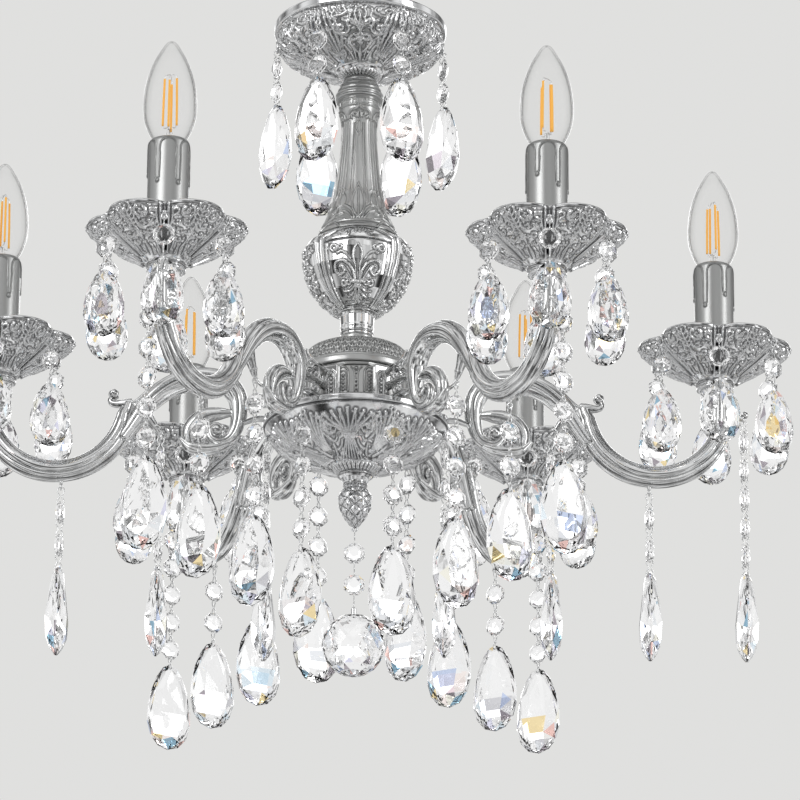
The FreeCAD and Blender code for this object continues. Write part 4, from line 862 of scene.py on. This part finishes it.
def cup_pattern():
    """Six-lobed cup with a plain rim, ribs at its notches and filigree under its petals."""
    outer = [(50.2, 33), (51.4, 32.8), (51.9, 32), (51.9, 30.6), (51.2, 29.8), (50.6, 29.4), (49.4, 27.2),
             (46.2, 24.6), (41, 21.6), (34.6, 18.4), (28, 15.2), (22, 12), (17.4, 9.2), (15, 7.4),
             (13.6, 6), (13.2, 4.8), (11.4, 3.8), (11.2, 2.8), (12.6, 2.2), (12.6, 0.8), (11.4, 0.1),
             (10.4, 0)]
    inner = [(5.4, 0), (5.4, 8), (15.4, 8), (17.4, 10.6), (24, 14.6), (32, 19), (40, 23.8), (46, 28),
             (49, 31.8)]
    strokes = both([
        (bow((23.2, 3.2), (22.6, 44), 0.0), 1.2, 0.9, 2.4), (bow((20.4, 7), (21.6, 26), 0.05), 0.9, 0.7, 1.4),
        (arc(9.6, 10.2, 4.4, 240, -50, 3.6), 0.8, 1.3, 1.6), (arc(9.8, 10, 2.0, 20, 300, 0.9), 0.9, 0.7, 1.3),
        (arc(18.4, 9.4, 3.5, 60, 350, 1.3), 1.1, 0.8, 1.5), curl(7.4, 19, 3.2, 200, -130, 1.0, 1.7),
        curl(15.6, 18.4, 3.0, 340, 640, 1.0, 1.7), curl(11.2, 26.4, 2.9, 150, -160, 0.9, 1.6),
        curl(18.8, 26, 2.4, 30, 330, 0.8, 1.5), curl(4.6, 27.6, 1.9, 220, -60, 0.7, 1.4),
        (bow((17.5, 29), (22.4, 40), 0.1), 0.8, 0.6, 1.2), curl(9.4, 34.4, 2.3, 330, 620, 0.8, 1.4),
        (bow((15, 33), (17, 43), 0.1), 0.9, 0.7, 1.2), (bow((5, 38), (8, 46), -0.1), 0.8, 0.6, 1.1)])
    strokes += leaf(20, 5.2, 5.0, 4, 0.9, 1.7) + lens(20, 34, 1.6, 1.5) + lens(34, 47, 1.3, 1.2)
    strokes += nubs(80, (-26, 26), (5, 44), 0.6, 1.1, 1.3) + rings((3.6, 0.45, 0.5), (51.6, 0.6, 0.5))

    def crease(angle, along, line):
        """A groove under every notch, darkened with painted shade."""
        reach = (np.radians(STEP / 2) - np.abs(angle)) * line[:, :1]
        ends = np.clip((along - 9) / 3, 0, 1) * np.clip((50 - along) / 4, 0, 1)
        inside = np.exp(-(reach / 1.1) ** 2) * ends
        return -0.8 * inside, 1 - 0.97 * inside
    build = Build()
    lathe(build, outer, inner, strokes=strokes, ref=50, cols=150, shape=lobe, extra=crease)
    stub = Build()
    sweep(stub, curve([(38.6, 22.4), (41.6, 25.6), (43.9, 24.4)]), [1.6, 2.2, 1.2], around=12, flat=1.1)
    stub.parts += eyelet(CUP_HOOK, (43.9, 24.6)).parts
    for notch in range(NOTCHES):
        build.parts += stub.turned(30 + 60 * notch).parts
    return build


def sleeve_pattern():
    """Candle tube with a rounded top: wax arches round its edge and drips of six lengths between them."""
    outer = [(10.9, 91.6), (11.8, 91.4), (12.8, 90.6), (13.4, 88.8), (13.5, 86), (13.5, 60), (13.5, 30),
             (13.5, 9), (13.2, 8.1)]
    inner = [(12, 8.1), (12, 88.4), (10.9, 89.8)]
    strokes, drips, radius = [], 6, 13.4
    pitch = 2 * math.pi * radius / drips
    for place in range(-drips // 2, drips // 2 + 1):
        x = place * pitch
        half = [(1.5, 15), (1.7, 8.4), (3.4, 5), (pitch / 2, 3.8)]
        other = [(pitch - across, down) for across, down in half[-2::-1]]
        strokes += even(curve([(x + across, down) for across, down in half + other]), 0.45, 0.6)
    for place in range(-drips // 2, drips // 2):
        x, long = place * pitch, rng.uniform(14, 38)
        side = rng.uniform(-0.4, 0.4)
        for edge in (-1, 1):
            strokes.append(([(x + edge * 1.7, 14), (x + edge * (1.2 + side), long - 1)], 0.45, 0.4, 0.6))
        strokes.append(([(x + side, long), (x + side, long + 1.2)], 0.9, 1.1, 0.7))
    build = Build()
    lathe(build, outer, inner, strokes=strokes, ref=radius, cols=260, sectors=1, deep=0.6)
    return build


def bulb_pattern():
    """Clear candle bulb: glass, threaded cap, glass stem, four amber filaments and their wires."""
    outer = curve([(0.7, 70), (2.6, 69), (4.8, 66.4), (7.2, 62.2), (9.8, 57.6), (12.4, 51.6), (15, 43.4),
                   (16.8, 34.4), (17.5, 24.4), (17, 16), (14.8, 8), (11.6, 1.4), (8.6, -4), (7.1, -7.9)], 5)
    inner = curve([(6.5, -7.9), (8, -3.8), (10.9, 1.6), (14, 8.2), (16.2, 16), (16.7, 24.4), (16, 34.2),
                   (14.2, 43), (11.6, 51.2), (9, 57), (6.4, 61.6), (4, 65.6), (2, 68), (0.5, 69)], 5)
    build = Build()
    lathe(build, outer, inner, cols=48, sectors=1, step=1.5)
    thread = [(6.8 + 0.35 * math.sin(step * 0.9), -8.2 - step * 0.7) for step in range(30)]
    lathe(build, [(0.6, -8.1), (6.6, -8.15), *thread, (3.2, -31), (3, -32.8)], [(0.6, -32.8)], cols=48,
          sectors=1, step=0.5, slot=1)
    stem = [(0.4, 8), (1.5, 7.6), (2.0, 6), (2.2, 0), (3.4, -4), (5.2, -7.9)]
    lathe(build, stem, [(0.4, -7.9)], cols=24, sectors=1, step=1.0)
    wire = [0.24, 0.24, 0.24]
    for number, turn in enumerate((22, 112, 202, 292)):
        foot = 8 + 2.5 * (number % 2)
        filament = Build()
        sweep(filament, [(4.6, foot), (4.4, 26), (4.0, foot + 33)], [0.74, 0.78, 0.74], around=10, step=2,
              slot=2)
        sweep(filament, [(1, foot - 1.4), (3.6, foot - 2), (4.6, foot + 0.4)], wire, around=6, slot=1)
        sweep(filament, [(4, foot + 32.6), (3.8, foot + 35.4), (0.4, 46.6)], wire, around=6, slot=1)
        build.parts += filament.turned(turn).parts
    return build


# ---------------------------------------------------------------- crystals

# Painted flash colours for crystal facets: dark ones for painted reflection, coloured ones for painted
# dispersion, pale ones near clear.
PAINTED_FLASHES = [(0.07, 0.06, 0.07), (0.18, 0.15, 0.18), (0.46, 0.46, 0.50), (0.10, 0.26, 0.42), (0.40, 0.52, 0.86),
           (0.88, 0.40, 0.34), (0.97, 0.66, 0.22), (0.62, 0.62, 0.86), (0.97, 0.80, 0.74), (0.62, 0.78, 0.90),
           (0.78, 0.82, 0.88), (0.94, 0.91, 0.74), (0.84, 0.84, 0.88), (0.90, 0.86, 0.86), (0.72, 0.74, 0.78),
           (0.86, 0.90, 0.94)]
BEAD_PITCH = 10.0
DROP_LENGTH = 63
DROP_TOP = 4


def stone(build, corners, at, lively, below=math.inf):
    """A convex cut stone; lively is the share of its facets under a level that get a painted flash, some a
    painted dark reflection, others a painted dispersion colour.
    """
    work = bmesh.new()
    for corner in corners:
        work.verts.new(corner)
    bmesh.ops.convex_hull(work, input=work.verts)
    bmesh.ops.delete(work, geom=[v for v in work.verts if not v.link_faces], context="VERTS")
    bmesh.ops.dissolve_limit(work, angle_limit=math.radians(1), verts=work.verts, edges=work.edges)
    work.verts.index_update()
    points = np.array([v.co for v in work.verts]) + np.array([0, 0, at])
    faces = [[v.index for v in face.verts] for face in work.faces]
    facet_flashes = []
    for face in work.faces:
        chance = lively if face.calc_center_median().z < below else 0.0
        # A lively facet gets a painted flash; the rest stay near white.
        if rng.random() < chance:
            facet_flashes.append(PAINTED_FLASHES[rng.integers(len(PAINTED_FLASHES))])
        else:
            facet_flashes.append(np.full(3, rng.uniform(0.94, 1.0)))
    work.free()
    build.add(points, faces, smooth=False, tint=np.array(facet_flashes))


def bead(build, at):
    """Octagon bead, seen broad from the front."""
    corners = []
    for side in (-1, 1):
        for radius, x, shift in ((7.5, 0.5, 0.5), (5.7, 2.0, 0.0), (3.5, 2.95, 0.5)):
            turns = (np.arange(8) + shift) * 2 * math.pi / 8
            corners += [(side * x, radius * math.sin(turn), radius * math.cos(turn)) for turn in turns]
    stone(build, corners, at, 0.02)


def teardrop(half, tall, middle, x, share, count, shift=0.0):
    """Corners round a drop's outline, drawn in to a share of it about its middle."""
    corners = []
    for step in range(count):
        turn = 2 * math.pi * (step + shift) / count
        y = half * math.sin(turn) * (1 - 0.24 * math.cos(turn)) / 1.03 * share
        z = DROP_TOP - tall * (1 - math.cos(turn)) / 2
        corners.append((x, y, middle + (z - middle) * share))
    return corners


def pear(build, at):
    """Cut pear drop: a broad kite above a level line, a fan of facets below it."""
    half, deep, tall = 17.5, 7.3, DROP_LENGTH
    line = DROP_TOP - tall * 0.6
    kite = [(0.52, 0, 0.08), (1, 0.56, 0.6), (0.93, 0.42, 0.79), (0.8, 0, 0.87), (0.74, 0.4, 0.3)]
    corners = []
    for side in (-1, 1):
        corners += teardrop(half, tall, line, side * 0.6, 1.0, 16)
        corners += teardrop(half, tall, line, side * deep * 0.5, 0.86, 8, 0.5)
        for depth, aside, down in kite:
            for way in (1, -1) if aside else (1,):
                corners.append((side * deep * depth, way * half * aside, DROP_TOP - tall * down))
    stone(build, corners, at, 0.42, below=-tall * 0.55)


def pendant_drop(build, at):
    """Smaller pear of a candle cup, cut all over in lozenges."""
    half, tall = 13.8, 46
    middle = DROP_TOP - tall * 0.58
    rows = [(0.5, 1.0, 20, 0), (2.6, 0.84, 10, 0.5), (4.2, 0.62, 10, 0), (5.3, 0.34, 8, 0.5)]
    corners = []
    for side in (-1, 1):
        for x, share, count, shift in rows:
            corners += teardrop(half, tall, middle, side * x, share, count, shift)
    stone(build, corners, at, 0.14)


def ball(build, at):
    """Ball cut in lozenges, on a small nub."""
    centre, radius, count = -25.0, 21.4, 14
    corners = []
    for row, tilt in enumerate(np.radians(np.arange(-80, 81, 16))):
        for turn in (np.arange(count) + row % 2 / 2) * 2 * math.pi / count:
            corners.append((radius * math.cos(tilt) * math.cos(turn),
                            radius * math.cos(tilt) * math.sin(turn), centre + radius * math.sin(tilt)))
    stone(build, corners, at, 0.5, below=centre - radius * 0.66)
    lathe(build, [(1.4, at + 1.6), (1.8, at + 0.8), (1.8, at - 4.4)], [(0.3, at - 4.4), (0.3, at + 1.6)],
          cols=12, sectors=2, slot=1)


def link(build, top, long):
    """Wire link, pinched in the middle, from the hole above to the hole below."""
    turns = np.radians(np.arange(0, 360, 11.25))
    drop = long / 2
    z = top - drop + (drop + 0.1) * np.cos(turns)
    pinch = 1 - 0.72 * np.exp(-((z - top + drop) / (0.36 * drop)) ** 2)
    x = 2.75 * np.sign(np.sin(turns)) * np.abs(np.sin(turns)) ** 0.6 * pinch
    ring(build, np.stack([x, np.zeros_like(x), z], 1), (0, 1, 0), 0.42)


def hang(build, piece, turn, *values):
    """Adds what a piece's own function makes, turned about the strand."""
    single = Build()
    piece(single, *values)
    build.parts += single.turned(turn).parts


def chain(links, twist=0.0):
    """Links with a bead between each two, below a hook at the origin, slowly twisted on the way down."""
    build = Build()
    top, count = 0.0, 2 * len(links) + 1
    for number, long in enumerate(links):
        if number:
            hang(build, bead, twist * (2 * number + 1) / count, top - BEAD_PITCH / 2)
            top -= BEAD_PITCH
        hang(build, link, twist * (2 * number + 2) / count, top, long)
        top -= long
    return build


def even_links(beads, span):
    """Lengths of the links that share out a span with its beads."""
    return [(span - beads * BEAD_PITCH) / (beads + 1)] * (beads + 1)


def strands():
    """Every hanging strand, each with painted flashes of its own; two of the canopy's are twisted."""
    kinds = [("outer", 5, 461, 0, 0), ("low", 2, 461, 0, 0), ("inner", 4, 461, 0, 0),
             ("bowl", 4, 462, BOWL_TURN, 0), ("canopy", 2, 122, 0, 35)]
    for kind, beads, tip, turn, side_twist in kinds:
        out, up = HOOKS[kind]
        span = tip - (DROP_LENGTH - DROP_TOP) + up
        for arm in range(ARMS):
            twist = 0 if arm % 3 else side_twist
            build = chain(even_links(beads, span), twist)
            hang(build, pear, twist, -span)
            name = f"{kind}_crystal_strand_{arm + 1}"
            hung = build.turned(arm * STEP + turn, (out, 0, up))
            hung.make(f"{kind}_crystals_{arm + 1}", name, "crystal", [CRYSTAL, POLISHED], name)
    span = 57.43
    build = chain(even_links(2, span))
    ball(build, -span)
    hung = build.turned(FRONT, (0, 0, HOOKS["ball"][1]))
    hung.make("ball_crystals", "ball_strand", "crystal", [CRYSTAL, POLISHED], "ball_strand")


def cup_pendants():
    """Bead and drop at every notch of the cups; the ones beside a cup have twisted to face front or back."""
    span, first = 32, 7.25
    for lamp in range(ARMS):
        group = Build()
        for notch in range(NOTCHES):
            twist = 45 * (1, 0, -1)[(lamp + notch) % 3]
            single = chain([first, span - first - BEAD_PITCH], twist)
            hang(single, pendant_drop, twist, -span)
            hung = single.turned(30 + 60 * notch, (CUP_HOOK[0], 0, CUP_HOOK[1]))
            group.parts += hung.turned(0, LAMP_SEAT).parts
        group.turned(lamp * STEP).make(f"cup_pendants_{lamp + 1}", "frame", "crystal", [CRYSTAL, POLISHED],
                                       "cup_pendants")


def copies(pattern, name, body, slot, materials, node, shift):
    """One piece for each arm."""
    for number in range(1, ARMS + 1):
        placed = pattern.turned((number - 1) * STEP, shift)
        placed.make(f"{name}_{number}", body.format(number), slot, materials, node.format(number))


copies(arm_pattern(), "arm_casting", "frame", "chrome_plate", [POLISHED], "arm_{}", (0, 0, 0))
copies(cup_pattern(), "candle_cup", "frame", "chrome_plate", [CHROME], "candle_cups", LAMP_SEAT)
copies(sleeve_pattern(), "candle_sleeve", "frame", "candle_sleeve", [SOFT], "candle_sleeves", LAMP_SEAT)
copies(bulb_pattern(), "candle_bulb", "bulb_{}", "bulb_glass", [GLASS, POLISHED, AMBER], "bulb_{}", BULB_SEAT)
strands(), cup_pendants()


# ---------------------------------------------------------------- studio

def studio_world():
    """Pale room: even for the camera and for matt things, soft bright and dark areas for metal and glass."""
    world = bpy.data.worlds.new("studio")
    bpy.context.scene.world = world
    world.use_nodes = True
    ground = world.node_tree.nodes["Background"]
    rays = add_node(world, "ShaderNodeLightPath")
    place = add_node(world, "ShaderNodeTexCoord")

    def areas(scale, detail, rough, stops):
        cloud = add_node(world, "ShaderNodeTexNoise", Scale=scale, Detail=detail, Roughness=rough)
        join(world, place.outputs["Generated"], cloud.inputs["Vector"])
        return ramp(world, cloud.outputs["Fac"], stops)

    def either(factor, first, second):
        mix = add_node(world, "ShaderNodeMix", data_type="RGBA")
        join(world, factor, mix.inputs["Factor"])
        if isinstance(first, tuple):
            mix.inputs["A"].default_value = first
        else:
            join(world, first, mix.inputs["A"])
        join(world, second, mix.inputs["B"])
        return mix.outputs["Result"]
    through_glass = areas(1.7, 2.5, 0.55,
                          [(0.30, 0.30), (0.36, 0.66), (0.42, 0.87), (0.56, 0.93), (0.68, 1.0)])
    in_metal = areas(2.4, 3.0, 0.6, [(0.34, 0.03), (0.42, 0.20), (0.48, 0.46), (0.55, 0.78), (0.62, 1.0)])
    room = either(rays.outputs["Is Transmission Ray"], in_metal, through_glass)
    reflecting = add_node(world, "ShaderNodeMath", operation="MAXIMUM")
    join(world, rays.outputs["Is Glossy Ray"], reflecting.inputs[0])
    join(world, rays.outputs["Is Transmission Ray"], reflecting.inputs[1])
    join(world, either(reflecting.outputs[0], (0.745, 0.745, 0.735, 1), room), ground.inputs["Color"])
    ground.inputs["Strength"].default_value = 1.0


def area_light(name, place, target, size, power):
    lamp = bpy.data.lights.new(name, "AREA")
    lamp.shape = "RECTANGLE"
    lamp.size, lamp.size_y = size
    lamp.energy = power
    holder = bpy.data.objects.new(name, lamp)
    bpy.context.scene.collection.objects.link(holder)
    holder.location = place
    holder.rotation_euler = (Vector(target) - Vector(place)).to_track_quat("-Z", "Y").to_euler()


def studio():
    """The room, three soft lights and a pale floor far below, all placed in metres."""
    studio_world()
    middle = (0, 0, -0.27)
    area_light("key", (-1.5, -1.9, 0.5), middle, (1.4, 1.4), 16)
    area_light("side", (1.9, -0.9, 0.1), middle, (0.5, 1.8), 9)
    area_light("back", (0.2, 2.0, 0.6), middle, (1.6, 0.6), 8)
    mesh = bpy.data.meshes.new("floor")
    wide, level = 9.0, -1.7
    mesh.from_pydata([(-wide, -wide, level), (wide, -wide, level), (wide, wide, level),
                      (-wide, wide, level)], [], [(0, 1, 2, 3)])
    mesh.materials.append(noisy_material("pale_floor", (0.73, 0.73, 0.72), (0.76, 0.76, 0.75), 3.0,
                                         Roughness=0.7))
    floor = bpy.data.objects.new("floor", mesh)
    floor.visible_glossy = floor.visible_transmission = False
    bpy.context.scene.collection.objects.link(floor)


def camera():
    """The photograph's view: a long lens from below, a little turned and rolled."""
    spin = Matrix.Rotation(math.radians(-0.3585), 3, "Z")
    target = spin @ Vector((0.029886, 0, -0.276873))
    place = spin @ Vector((0.0299, -3.2086, -1.4346))
    forward = (target - place).normalized()
    right = forward.cross(Vector((0, 0, 1))).normalized()
    up = right.cross(forward)
    roll = math.radians(0.476)
    across = right * math.cos(roll) + up * math.sin(roll)
    upward = up * math.cos(roll) - right * math.sin(roll)
    view = bpy.data.cameras.new("photo_camera")
    view.lens, view.sensor_width = 225.08, 36
    view.clip_end = 50
    holder = bpy.data.objects.new("photo_camera", view)
    bpy.context.scene.collection.objects.link(holder)
    holder.matrix_world = Matrix.Translation(place) @ Matrix((across, upward, -forward)).transposed().to_4x4()
    bpy.context.scene.camera = holder


studio()
camera()
scene = bpy.context.scene
scene.view_settings.view_transform = "Standard"
scene.cycles.max_bounces = 24
scene.cycles.transmission_bounces = 20
